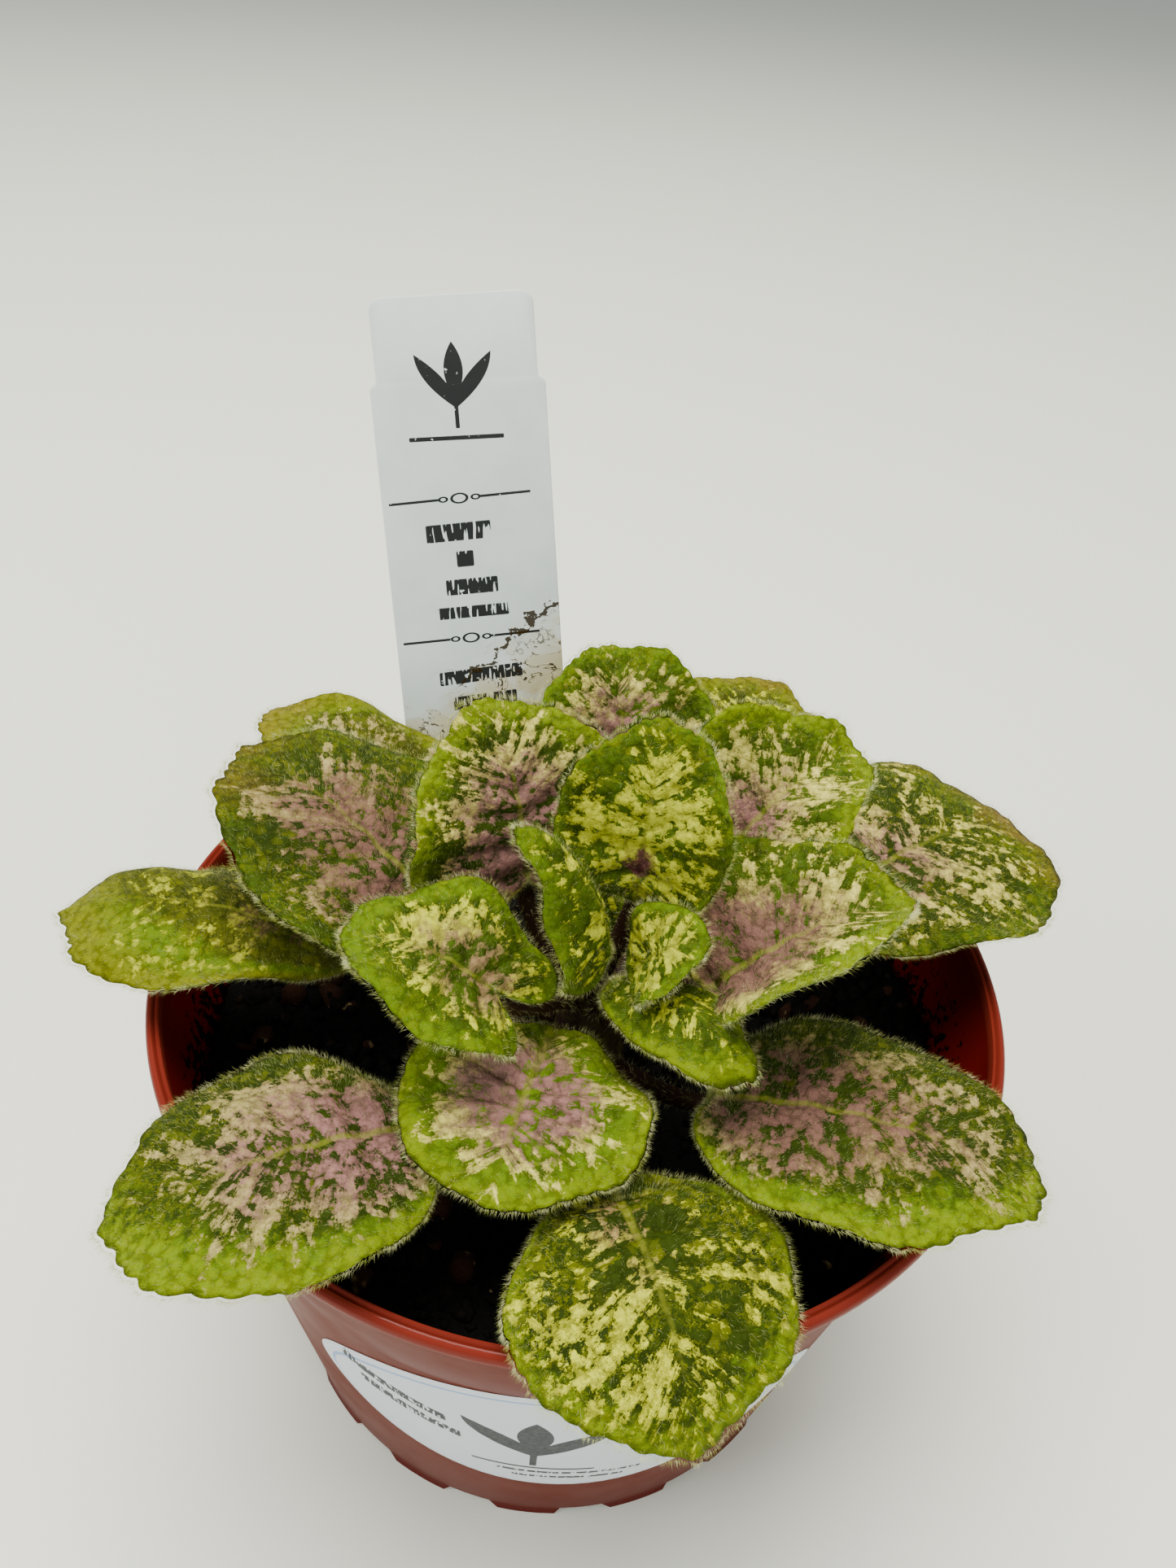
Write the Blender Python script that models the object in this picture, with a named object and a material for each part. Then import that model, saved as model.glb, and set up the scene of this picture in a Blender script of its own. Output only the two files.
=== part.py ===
# A semi-miniature African violet in a shallow 4 inch nursery pot.
# Metres, +Z up. The origin is the middle of the pot's underside, and -Y is the front.
import bmesh
import bpy
import numpy as np
from math import cos, pi, radians, sin
from mathutils import Matrix, Vector

MM = 0.001
TOUCH_GAP = 0.3 * MM

# Pot, a thin moulded plastic pot with a collar under its rolled rim
POT_HEIGHT = 67.0 * MM
RIM_RADIUS = 51.0 * MM
LIP_HEIGHT = 2.6 * MM
LIP_OVERHANG = 0.7 * MM
LIP_WIDTH = 1.7 * MM
LIP_SECTION = ((0.0, 0.3), (0.0, 0.75), (0.25, 1.0), (0.75, 1.0), (1.0, 0.7), (1.1, 0.0))
COLLAR_HEIGHT = 16.0 * MM
COLLAR_FOOT_RADIUS = 46.8 * MM
COLLAR_STEP = 0.5 * MM
BASE_RADIUS = 38.0 * MM
BASE_CHAMFER = 1.0 * MM
WALL = 1.1 * MM
FLOOR_THICKNESS = 1.3 * MM
POT_SIDES = 48
FOOT_COUNT = 8
FOOT_WIDTH = 10.0 * MM
FOOT_HEIGHT = 1.5 * MM
FOOT_RING_DEPTH = 4.0 * MM
FOOT_RING_RISE = 0.2 * MM
DRAIN_HOLE_RADIUS = 3.0 * MM
DRAIN_HOLE_CIRCLE = 28.0 * MM

# Potting soil
SOIL_DEPTH_BELOW_RIM = 12.0 * MM
SOIL_LUMP = 0.7 * MM
SOIL_SIDES = POT_SIDES
SOIL_RINGS = (0.35, 0.7, 1.0)

# Crown, the short stem that every leaf stalk grows from
CROWN_PLACE = (1.0 * MM, -7.5 * MM)
CROWN_SIDES = 12
CROWN_ROOT_DEPTH = 20.0 * MM
CROWN_ROOT_RADIUS = 1.5 * MM
CROWN_TAPER_DEPTH = 6.0 * MM
CROWN_CAP = 0.6 * MM
CROWN_PROFILE = ((-12.0, 5.6), (-8.0, 5.0), (-4.0, 4.0), (0.0, 3.0), (4.0, 2.1), (6.0, 1.2))

# Plant label, a plastic stake with a clipped head, and a tapered foot in the soil
TAG_WIDTH = 22.0 * MM
TAG_THICKNESS = 0.7 * MM
TAG_FOOT_PLACE = (-12.8 * MM, 21.5 * MM)
TAG_LEAN_LEFT = radians(8.3)
TAG_LEAN_BACK = radians(18.6)
TAG_ABOVE_SOIL = 77.5 * MM
TAG_IN_SOIL = 34.0 * MM
TAG_HEAD_HEIGHT = 8.0 * MM
TAG_HEAD_INSET = 0.8 * MM
TAG_CORNER = 1.6 * MM
TAG_TAPER_LENGTH = 20.0 * MM
TAG_POINT_WIDTH = 4.0 * MM
TAG_SLOT_TOP = 15.0 * MM

# Oval paper sticker on the front of the pot
STICKER_WIDTH = 62.0 * MM
STICKER_HEIGHT = 35.0 * MM
STICKER_THICKNESS = 0.4 * MM
STICKER_CENTRE_Z = 32.5 * MM
STICKER_AZIMUTH = radians(-85.0)
STICKER_COLUMNS = 28
STICKER_ROWS = 2

# Leaves
BLADE_THICKNESS = 0.8 * MM
BLADE_RINGS = (0.42, 0.76, 1.0)
SMALL_BLADE_RINGS = (0.55, 1.0)
SMALL_BLADE_WIDTH = 20.0
FOLD_SOFTNESS = 0.6
STALK_SIDES = 6
STALK_STEPS = 5
MIDRIB_STEPS = 2
MIDRIB_REACH = 0.4
MIDRIB_DROP = 0.92
MIDRIB_THICK = 0.85
MIDRIB_END_RADIUS = 0.35
TIP_POINT = 0.04
SINUS_WIDTH = 0.26
SINUS_END = 0.08


def leaf(base, tip, width, attach, arch=2.0, left=(0, -15), right=(0, -15), roll=0, lobe=0.15,
         ovate=0.2, wave=1.0, waves=5, teeth=18, stalk=1.3, rise=25):
    # base and tip are the two ends of the midrib in mm, with heights above the pot's rim.
    # attach is how high above the rim the stalk leaves the crown, and rise is how steeply.
    # left and right give each half's (fold at the midrib, cup out to the margin) in degrees.
    return dict(base=base, tip=tip, width=width, attach=attach, arch=arch, left=left, right=right,
                roll=roll, lobe=lobe, ovate=ovate, wave=wave, waves=waves, teeth=teeth,
                stalk=stalk, rise=rise)


LEAVES = {
    "leaf_01": leaf((-27, -9, 5), (-61, -7.5, 5), 21, -8.0, arch=5, left=(-5, -20),
                    right=(-10, -20), lobe=0.04, ovate=-0.05),
    "leaf_02": leaf((-22, 16, 8.5), (-46, 24, 13), 20, -8.5, arch=3, right=(5, -20)),
    "leaf_03": leaf((-16, -7.5, 11), (-43, 7, 21.5), 31, -4.0, arch=3, left=(0, -18),
                    right=(12, -10), roll=12, lobe=0.12),
    "leaf_04": leaf((-7, -5.5, 17.5), (-13, 2, 34.5), 26, 0.5, left=(-8, 5), right=(10, 10),
                    lobe=0.12, rise=60),
    "leaf_05": leaf((5, -9, 22), (6, -3, 38), 19, 4.5, arch=1, left=(10, 10), right=(10, 10),
                    lobe=0.25, stalk=1.1, rise=75),
    "leaf_06": leaf((3, 17, 13), (-0.5, 27, 28), 24, -5.0, left=(10, 10), right=(10, 10)),
    "leaf_07": leaf((16, 27, 8), (23, 47, 12), 22, -8.5, left=(10, -10), right=(10, -10)),
    "leaf_08": leaf((15, 2, 15), (30, 13, 25), 23, -3.0, arch=3, left=(50, 10), right=(10, 0),
                    lobe=0.12),
    "leaf_09": leaf((28, 5, 9.5), (59, 20, 9.5), 31, -8.0, arch=3, left=(5, -15),
                    right=(5, -15), lobe=0.1),
    "leaf_10": leaf((14, -17, 15), (33, -10, 23), 23, -1.5, left=(30, 5), right=(30, 5),
                    lobe=0.12),
    "leaf_11": leaf((5, -16.5, 17), (12, -18, 21), 11, 2.8, arch=1, left=(10, 0),
                    right=(10, 0), lobe=0.2, wave=0.4, teeth=12, stalk=0.8, rise=60),
    "leaf_12": leaf((1, -18, 21.5), (-6, -18.5, 35), 13, 4.7, left=(-5, -10),
                    right=(-50, -15), roll=-35, lobe=0.3, wave=0.5, teeth=14, stalk=0.9,
                    rise=60),
    "leaf_13": leaf((-9.5, -22, 17), (-24.5, -18.3, 18.5), 19, 1.0, left=(20, -12), right=(0, -12),
                    lobe=0.42, rise=55),
    "leaf_14": leaf((5, -17.5, 13), (17, -28.5, 14), 11, 0.0, arch=3, left=(-55, 0),
                    right=(-20, -10), wave=0.5, teeth=14, stalk=0.9, rise=55),
    "leaf_15": leaf((-4.2, -28.2, 9), (-6.5, -40, 6), 26, -4.5, arch=1, left=(5, -20),
                    right=(5, -15), lobe=0.85, wave=1.3),
    "leaf_16": leaf((-15.5, -31, 4.8), (-41, -45.5, 4.5), 29, -8.0, arch=3, left=(5, -15),
                    right=(0, -20), roll=4, lobe=0.08, ovate=0.05, wave=0.8),
    "leaf_17": leaf((18, -24.5, 6), (48, -31.5, 5.5), 27, -8.0, arch=3, right=(8, -20), lobe=0.15,
                    ovate=0.05, wave=0.8),
    "leaf_18": leaf((6, -36.5, 4.5), (14.5, -55.5, -3), 29, -8.5, arch=4, left=(0, -17),
                    right=(0, -20), lobe=0.16, ovate=0.0, wave=0.8),
    "leaf_19": leaf((1.5, -5, 10), (2, -2.5, 16), 7, 5.0, arch=0.5, left=(20, 10),
                    right=(20, 10), wave=0.2, teeth=10, stalk=0.7, rise=75),
    "leaf_20": leaf((5.5, -5, 10.5), (9, -2, 15), 6, 3.5, arch=0.5, left=(25, 10),
                    right=(25, 10), wave=0.2, teeth=10, stalk=0.6, rise=65),
}

COLOURS = {
    "pot": (0.20, 0.065, 0.040, 0.45),
    "soil": (0.010, 0.007, 0.005, 0.95),
    "stem": (0.10, 0.030, 0.020, 0.60),
    "leaf": (0.14, 0.24, 0.035, 0.75),
    "label": (0.72, 0.72, 0.68, 0.35),
    "paper": (0.66, 0.68, 0.72, 0.60),
}


def make_material(name):
    red, green, blue, roughness = COLOURS[name]
    material = bpy.data.materials.new(name)
    material.use_nodes = True
    shader = material.node_tree.nodes["Principled BSDF"]
    shader.inputs["Base Color"].default_value = (red, green, blue, 1.0)
    shader.inputs["Roughness"].default_value = roughness
    shader.inputs["Metallic"].default_value = 0.0
    return material


def add_object(name, bm, material=None, smooth_angle=40):
    mesh = bpy.data.meshes.new(name)
    bm.to_mesh(mesh)
    bm.free()
    mesh.shade_smooth()
    mesh.set_sharp_from_angle(angle=radians(smooth_angle))
    piece = bpy.data.objects.new(name, mesh)
    bpy.context.collection.objects.link(piece)
    if material:
        mesh.materials.append(material)
    return piece


def hide_cutter(cutter):
    cutter.hide_render = True
    cutter.display_type = "WIRE"


def add_boolean(piece, cutter, operation):
    hide_cutter(cutter)
    modifier = piece.modifiers.new(cutter.name, "BOOLEAN")
    modifier.operation = operation
    modifier.solver = "EXACT"
    modifier.object = cutter


def turn_profile(points, sides, centre=(0.0, 0.0)):
    # Turns (radius, height) points, listed from the bottom of the axis round to its top.
    bm = bmesh.new()
    rings = []
    for radius, height in points:
        if radius == 0.0:
            rings.append([bm.verts.new((centre[0], centre[1], height))])
            continue
        rings.append([bm.verts.new((centre[0] + radius * cos(2 * pi * i / sides),
                                    centre[1] + radius * sin(2 * pi * i / sides), height))
                      for i in range(sides)])
    for lower, upper in zip(rings, rings[1:]):
        for i in range(sides):
            j = (i + 1) % sides
            if len(lower) == 1:
                bm.faces.new((lower[0], upper[j], upper[i]))
            elif len(upper) == 1:
                bm.faces.new((lower[i], lower[j], upper[0]))
            else:
                bm.faces.new((lower[i], lower[j], upper[j], upper[i]))
    return bm


def body_radius(height):
    # The tapering body's outer radius, below the collar.
    share = height / (POT_HEIGHT - COLLAR_HEIGHT)
    return BASE_RADIUS + (COLLAR_FOOT_RADIUS - COLLAR_STEP - BASE_RADIUS) * share


def inner_radius(height):
    return body_radius(height) - WALL


def make_pot(material):
    collar_foot = POT_HEIGHT - COLLAR_HEIGHT
    collar_top = RIM_RADIUS - LIP_OVERHANG
    lip_foot = POT_HEIGHT - LIP_HEIGHT
    # LIP_SECTION lists shares of the lip's width, inwards, and of its height, upwards.
    lip = [(RIM_RADIUS - inwards * LIP_WIDTH, lip_foot + upwards * LIP_HEIGHT)
           for inwards, upwards in LIP_SECTION]
    profile = (
        (0.0, 0.0),
        (BASE_RADIUS - BASE_CHAMFER, 0.0),
        (body_radius(BASE_CHAMFER), BASE_CHAMFER),
        (body_radius(collar_foot), collar_foot),
        (COLLAR_FOOT_RADIUS, collar_foot),
        (collar_top, lip_foot),
        *lip,
        (COLLAR_FOOT_RADIUS - WALL, collar_foot + 2 * MM),
        (inner_radius(collar_foot - MM), collar_foot - MM),
        (inner_radius(FLOOR_THICKNESS), FLOOR_THICKNESS),
        (0.0, FLOOR_THICKNESS),
    )
    pot = add_object("pot", turn_profile(profile, POT_SIDES), material)
    for name, cutter in (("foot_notches", make_foot_notches()), ("drain_holes", make_drains())):
        add_boolean(pot, cutter, "DIFFERENCE")
    return pot


def make_foot_notches():
    # Wide shallow notches round the bottom corner leave feet between them.
    bm = bmesh.new()
    step = 2 * pi / FOOT_COUNT
    foot_angle = FOOT_WIDTH / BASE_RADIUS
    inside = BASE_RADIUS - FOOT_RING_DEPTH
    outside = BASE_RADIUS + 3 * MM
    arc_steps = 4
    for k in range(FOOT_COUNT):
        start = -pi / 2 + k * step + 0.5 * foot_angle
        sweep = step - foot_angle
        sections = []
        for i in range(arc_steps + 1):
            angle = start + sweep * i / arc_steps
            sections.append([bm.verts.new((r * cos(angle), r * sin(angle), z)) for r, z in (
                (inside, -MM), (outside, -MM), (outside, FOOT_HEIGHT), (inside, FOOT_RING_RISE))])
        for near, far in zip(sections, sections[1:]):
            for i in range(4):
                j = (i + 1) % 4
                bm.faces.new((near[i], far[i], far[j], near[j]))
        bm.faces.new(sections[0])
        bm.faces.new(sections[-1][::-1])
    bmesh.ops.recalc_face_normals(bm, faces=bm.faces)
    return add_object("foot_notches", bm)


def make_drains():
    bm = bmesh.new()
    for k in range(FOOT_COUNT):
        angle = -pi / 2 + (k + 0.5) * 2 * pi / FOOT_COUNT
        place = Matrix.Translation((DRAIN_HOLE_CIRCLE * cos(angle),
                                    DRAIN_HOLE_CIRCLE * sin(angle), FLOOR_THICKNESS / 2))
        bmesh.ops.create_cone(bm, cap_ends=True, segments=10, radius1=DRAIN_HOLE_RADIUS,
                              radius2=DRAIN_HOLE_RADIUS, depth=4 * FLOOR_THICKNESS, matrix=place)
    return add_object("drain_holes", bm)


def soil_height(x, y):
    lumps = (sin(x / (6.1 * MM)) * cos(y / (5.3 * MM) + 0.7)
             + 0.6 * sin(x / (3.7 * MM) + 1.9) * sin(y / (4.1 * MM)))
    return POT_HEIGHT - SOIL_DEPTH_BELOW_RIM + SOIL_LUMP * lumps * 0.5


def make_soil(material, crown_hole, tag_hole):
    top = POT_HEIGHT - SOIL_DEPTH_BELOW_RIM
    bottom = FLOOR_THICKNESS + TOUCH_GAP
    bm = bmesh.new()
    centre = bm.verts.new((0.0, 0.0, soil_height(0.0, 0.0)))
    rings = []
    edge = inner_radius(top) - TOUCH_GAP
    for share in SOIL_RINGS:
        ring = []
        for i in range(SOIL_SIDES):
            angle = 2 * pi * i / SOIL_SIDES
            x = edge * share * cos(angle)
            y = edge * share * sin(angle)
            height = soil_height(x, y) if share < 1.0 else top
            ring.append(bm.verts.new((x, y, height)))
        rings.append(ring)
    foot = inner_radius(bottom) - TOUCH_GAP
    rings.append([bm.verts.new((foot * cos(2 * pi * i / SOIL_SIDES),
                                foot * sin(2 * pi * i / SOIL_SIDES), bottom))
                  for i in range(SOIL_SIDES)])
    under = bm.verts.new((0.0, 0.0, bottom))
    for i in range(SOIL_SIDES):
        j = (i + 1) % SOIL_SIDES
        bm.faces.new((centre, rings[0][i], rings[0][j]))
        for inner, outer in zip(rings, rings[1:]):
            bm.faces.new((inner[i], outer[i], outer[j]))
            bm.faces.new((inner[i], outer[j], inner[j]))
        bm.faces.new((under, rings[-1][j], rings[-1][i]))
    soil = add_object("potting_soil", bm, material)
    add_boolean(soil, crown_hole, "DIFFERENCE")
    add_boolean(soil, tag_hole, "DIFFERENCE")
    return soil


def crown_radius(height_above_rim):
    heights, radii = zip(*CROWN_PROFILE)
    return float(np.interp(height_above_rim, heights, radii)) * MM


def make_crown(material):
    soil_top = POT_HEIGHT - SOIL_DEPTH_BELOW_RIM
    root = soil_top - CROWN_ROOT_DEPTH
    taper = soil_top - CROWN_TAPER_DEPTH
    thick = crown_radius(CROWN_PROFILE[0][0])
    profile = [(0.0, root), (CROWN_ROOT_RADIUS, root), (thick, taper)]
    profile += [(radius * MM, POT_HEIGHT + height * MM) for height, radius in CROWN_PROFILE]
    profile.append((0.0, profile[-1][1] + CROWN_CAP))
    crown = add_object("crown_stem", turn_profile(profile, CROWN_SIDES, CROWN_PLACE), material)

    deep = root - 2 * TOUCH_GAP
    narrow = CROWN_ROOT_RADIUS + 2 * TOUCH_GAP
    wide = thick + 1.3 * TOUCH_GAP
    hole_profile = ((0.0, deep), (narrow, deep), (wide, taper), (wide, POT_HEIGHT),
                    (0.0, POT_HEIGHT))
    hole = add_object("crown_hole", turn_profile(hole_profile, CROWN_SIDES, CROWN_PLACE))
    return crown, hole


def tag_place():
    soil_top = POT_HEIGHT - SOIL_DEPTH_BELOW_RIM
    lean = Matrix.Rotation(-TAG_LEAN_BACK, 4, "X") @ Matrix.Rotation(-TAG_LEAN_LEFT, 4, "Y")
    return Matrix.Translation((*TAG_FOOT_PLACE, soil_top)) @ lean


def make_plate(name, outline, thickness, place, material=None):
    # A flat plate in its own XZ plane, with its outline listed anticlockwise seen from -Y.
    bm = bmesh.new()
    front = [bm.verts.new((x, -thickness / 2, z)) for x, z in outline]
    back = [bm.verts.new((x, thickness / 2, z)) for x, z in outline]
    bm.faces.new(front)
    bm.faces.new(back[::-1])
    for i in range(len(outline)):
        j = (i + 1) % len(outline)
        bm.faces.new((front[j], front[i], back[i], back[j]))
    plate = add_object(name, bm, material)
    plate.matrix_world = place
    return plate


def make_tag(material):
    half = TAG_WIDTH / 2
    head = half - TAG_HEAD_INSET
    top = TAG_ABOVE_SOIL
    shoulder = top - TAG_HEAD_HEIGHT
    taper = -TAG_IN_SOIL + TAG_TAPER_LENGTH
    point = TAG_POINT_WIDTH / 2
    outline = (
        (-point, -TAG_IN_SOIL), (point, -TAG_IN_SOIL), (half, taper), (half, shoulder - MM),
        (head, shoulder), (head, top - TAG_CORNER), (head - TAG_CORNER, top),
        (-head + TAG_CORNER, top), (-head, top - TAG_CORNER), (-head, shoulder),
        (-half, shoulder - MM), (-half, taper),
    )
    tag = make_plate("plant_tag", outline, TAG_THICKNESS, tag_place(), material)

    wide = half + TOUCH_GAP
    sharp = point + TOUCH_GAP
    deep = -TAG_IN_SOIL - TOUCH_GAP
    low = taper - TOUCH_GAP
    slot_outline = ((-sharp, deep), (sharp, deep), (wide, low), (wide, TAG_SLOT_TOP),
                    (-wide, TAG_SLOT_TOP), (-wide, low))
    slot = make_plate("tag_slot", slot_outline, TAG_THICKNESS + 2 * TOUCH_GAP, tag_place())
    return tag, slot


def make_sticker(material):
    # An oval laid on the cone of the pot's body. Its columns run straight up the cone.
    bm = bmesh.new()
    middle_radius = body_radius(STICKER_CENTRE_Z)
    half_angle = STICKER_WIDTH / 2 / middle_radius
    grid = []
    for i in range(STICKER_COLUMNS + 1):
        # The oval stops just short of its two ends, so that no column has zero height.
        share = sin(pi * (i / STICKER_COLUMNS - 0.5)) * 0.998
        angle = STICKER_AZIMUTH + half_angle * share
        reach = STICKER_HEIGHT / 2 * (1 - share * share) ** 0.5
        column = []
        for j in range(STICKER_ROWS + 1):
            height = STICKER_CENTRE_Z + reach * (2 * j / STICKER_ROWS - 1)
            radius = body_radius(height) + TOUCH_GAP
            column.append(bm.verts.new((radius * cos(angle), radius * sin(angle), height)))
        grid.append(column)
    for left, right in zip(grid, grid[1:]):
        for j in range(STICKER_ROWS):
            bm.faces.new((left[j], right[j], right[j + 1], left[j + 1]))
    sticker = add_object("pot_sticker", bm, material)
    skin = sticker.modifiers.new("paper", "SOLIDIFY")
    skin.thickness = STICKER_THICKNESS
    skin.offset = 1.0
    return sticker


def blade_outline(shape, angle, length):
    # The flat margin in mm: the stalk's end at (0, 0), the tip along +X, a notch behind.
    lobe = shape["lobe"]
    along = (1 - lobe) / 2 + (1 + lobe) / 2 * np.cos(angle)
    across = np.sin(angle) * (1 - shape["ovate"] * np.cos(angle))
    from_notch = pi - np.abs(angle)
    notch = 1 - (1 - min(1.0, SINUS_END / lobe)) * np.exp(-(from_notch / SINUS_WIDTH) ** 2)
    scallop = 0.03 * (np.abs(np.cos(shape["teeth"] * angle / 2)) - 0.5)
    reach = notch * (1 + scallop * np.clip(from_notch / 0.4, 0, 1))
    along = along + TIP_POINT * np.exp(-(angle / 0.25) ** 2)
    return along * length / (1 + TIP_POINT) * reach, across * shape["width"] / 2 * reach


def blade_axes(shape):
    # The midrib's chord, the leaf's left and its upper side.
    base = np.array(shape["base"], float)
    chord = np.array(shape["tip"], float) - base
    length = np.linalg.norm(chord)
    along = chord / length
    left = np.cross((0.0, 0.0, 1.0), along)
    left = left / np.linalg.norm(left)
    return base, length, along, left, np.cross(along, left)


def blade_points(shape, angle, share, drop=0.0):
    # Points of the blade's upper face in mm, a share of the way out from the stalk's end
    # to the margin, and drop mm below the face.
    base, length, along, left, up = blade_axes(shape)
    x, y = blade_outline(shape, angle, length)
    x = x * share
    y = y * share
    half = shape["width"] / 2
    out = np.abs(y)
    is_left = y >= 0
    fold = np.radians(np.where(is_left, shape["left"][0], shape["right"][0]))
    cup = np.radians(np.where(is_left, shape["left"][1], shape["right"][1]))
    bend = cup * out / half
    bend = np.where(np.abs(bend) < 1e-4, 1e-4, bend)
    flat = out * np.sin(bend) / bend
    rise = out * (1 - np.cos(bend)) / bend
    turn = fold * out / (out + FOLD_SOFTNESS)
    side = flat * np.cos(turn) - rise * np.sin(turn)
    rise = flat * np.sin(turn) + rise * np.cos(turn)
    ripple = np.sin(shape["waves"] * angle + 1.7 * base[0])
    rise = rise + shape["wave"] * share ** 2 * ripple * np.clip(1.5 * out / half, 0, 1) - drop
    side = side * np.where(is_left, 1.0, -1.0)
    roll = radians(shape["roll"])
    side, rise = side * cos(roll) - rise * sin(roll), side * sin(roll) + rise * cos(roll)
    part = x / length
    arch = shape["arch"]
    slope = np.arctan(4 * arch * (1 - 2 * part) / length)
    reach = x - rise * np.sin(slope)
    lift = 4 * arch * part * (1 - part) + rise * np.cos(slope)
    points = reach[..., None] * along + side[..., None] * left + lift[..., None] * up
    return base + points


def to_world(point):
    return Vector((point[0] * MM, point[1] * MM, POT_HEIGHT + point[2] * MM))


def make_blade(name, shape, material):
    # A fan of triangles from the stalk's end, then rings out to the scalloped margin.
    segments = 2 * shape["teeth"]
    shares = BLADE_RINGS if shape["width"] > SMALL_BLADE_WIDTH else SMALL_BLADE_RINGS
    angles = -pi + 2 * pi * np.arange(segments) / segments
    bm = bmesh.new()
    centre = bm.verts.new(to_world(blade_points(shape, np.zeros(1), np.zeros(1))[0]))
    rings = []
    for share in shares:
        ring = blade_points(shape, angles, np.full(segments, share))
        rings.append([bm.verts.new(to_world(point)) for point in ring])
    for i in range(segments):
        j = (i + 1) % segments
        bm.faces.new((centre, rings[0][i], rings[0][j]))
        for inner, outer in zip(rings, rings[1:]):
            bm.faces.new((inner[i], outer[i], outer[j]))
            bm.faces.new((inner[i], outer[j], inner[j]))
    blade = add_object(name, bm, material, smooth_angle=60)
    solid = blade.modifiers.new("thickness", "SOLIDIFY")
    solid.thickness = BLADE_THICKNESS
    solid.offset = -1.0
    return blade


def stalk_path(shape):
    # The stalk's centre line from the crown to the blade, then on under the midrib, in mm,
    # with the radius at each point.
    base, _, _, _, up = blade_axes(shape)
    crown = np.array((CROWN_PLACE[0] / MM, CROWN_PLACE[1] / MM, shape["attach"]))
    away = (base - crown) * (1, 1, 0)
    away = away / np.linalg.norm(away)
    rib_shares = np.linspace(0.0, MIDRIB_REACH, MIDRIB_STEPS + 1)
    rib = blade_points(shape, np.zeros(MIDRIB_STEPS + 1), rib_shares, drop=MIDRIB_DROP)
    end = rib[0]
    rise = radians(shape["rise"])
    clear = TOUCH_GAP / MM + shape["stalk"] * (sin(rise) - 0.1 * cos(rise))
    start = crown + away * (crown_radius(shape["attach"]) / MM + max(clear, TOUCH_GAP / MM))
    span = np.linalg.norm(end - start)
    leave = (away * cos(rise) + np.array((0, 0, 1)) * sin(rise)) * span
    run = rib[1] - rib[0]
    arrive = (run / np.linalg.norm(run) + 0.3 * up) * span * 0.8
    points = []
    for i in range(STALK_STEPS):
        t = i / STALK_STEPS
        points.append((2 * t ** 3 - 3 * t ** 2 + 1) * start + (t ** 3 - 2 * t ** 2 + t) * leave
                      + (3 * t ** 2 - 2 * t ** 3) * end + (t ** 3 - t ** 2) * arrive)
    radii = [shape["stalk"]] * STALK_STEPS
    points += list(rib)
    thick = MIDRIB_THICK * shape["stalk"]
    radii += np.linspace(thick, MIDRIB_END_RADIUS, MIDRIB_STEPS + 1).tolist()
    return points, radii


def make_stalk(name, shape):
    points, radii = stalk_path(shape)
    centres = [to_world(point) for point in points]
    bm = bmesh.new()
    rings = []
    side = None
    for k, centre in enumerate(centres):
        ahead = centres[min(k + 1, len(centres) - 1)]
        behind = centres[max(k - 1, 0)]
        heading = (ahead - behind).normalized()
        if side is None:
            side = heading.cross(Vector((0, 0, 1))).normalized()
        side = (side - heading * side.dot(heading)).normalized()
        over = side.cross(heading)
        rings.append([bm.verts.new(centre + radii[k] * MM * (side * cos(turn) + over * sin(turn)))
                      for turn in (2 * pi * i / STALK_SIDES for i in range(STALK_SIDES))])
    for near, far in zip(rings, rings[1:]):
        for i in range(STALK_SIDES):
            j = (i + 1) % STALK_SIDES
            bm.faces.new((near[i], near[j], far[j], far[i]))
    bm.faces.new(rings[0][::-1])
    bm.faces.new(rings[-1])
    bmesh.ops.recalc_face_normals(bm, faces=bm.faces)
    return add_object(name, bm)


def make_leaf(name, shape, material):
    blade = make_blade(name, shape, material)
    stalk = make_stalk(name + "_stalk", shape)
    add_boolean(blade, stalk, "UNION")
    return blade


def main():
    for old in list(bpy.data.objects):
        bpy.data.objects.remove(old, do_unlink=True)
    materials = {name: make_material(name) for name in COLOURS}
    make_pot(materials["pot"])
    crown, crown_hole = make_crown(materials["stem"])
    tag, tag_slot = make_tag(materials["label"])
    make_soil(materials["soil"], crown_hole, tag_slot)
    make_sticker(materials["paper"])
    for name, shape in LEAVES.items():
        make_leaf(name, shape, materials["leaf"])


main()
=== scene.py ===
import bmesh
import bpy
import numpy as np
from math import atan2, cos, pi, radians, sin
from mathutils import Matrix, Vector


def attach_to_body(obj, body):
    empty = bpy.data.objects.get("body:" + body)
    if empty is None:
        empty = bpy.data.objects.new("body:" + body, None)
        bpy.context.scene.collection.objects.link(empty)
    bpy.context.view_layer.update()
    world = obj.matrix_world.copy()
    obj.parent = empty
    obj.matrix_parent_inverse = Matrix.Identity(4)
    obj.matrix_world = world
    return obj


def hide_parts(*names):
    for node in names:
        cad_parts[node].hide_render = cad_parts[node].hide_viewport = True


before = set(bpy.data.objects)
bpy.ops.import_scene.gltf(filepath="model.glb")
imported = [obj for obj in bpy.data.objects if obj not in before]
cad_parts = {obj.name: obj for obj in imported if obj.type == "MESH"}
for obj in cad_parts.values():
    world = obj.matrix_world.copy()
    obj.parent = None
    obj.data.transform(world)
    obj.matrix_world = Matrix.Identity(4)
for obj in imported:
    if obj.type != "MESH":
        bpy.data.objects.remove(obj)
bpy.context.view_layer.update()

mm = 0.001
chance = np.random.default_rng(41)

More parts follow.
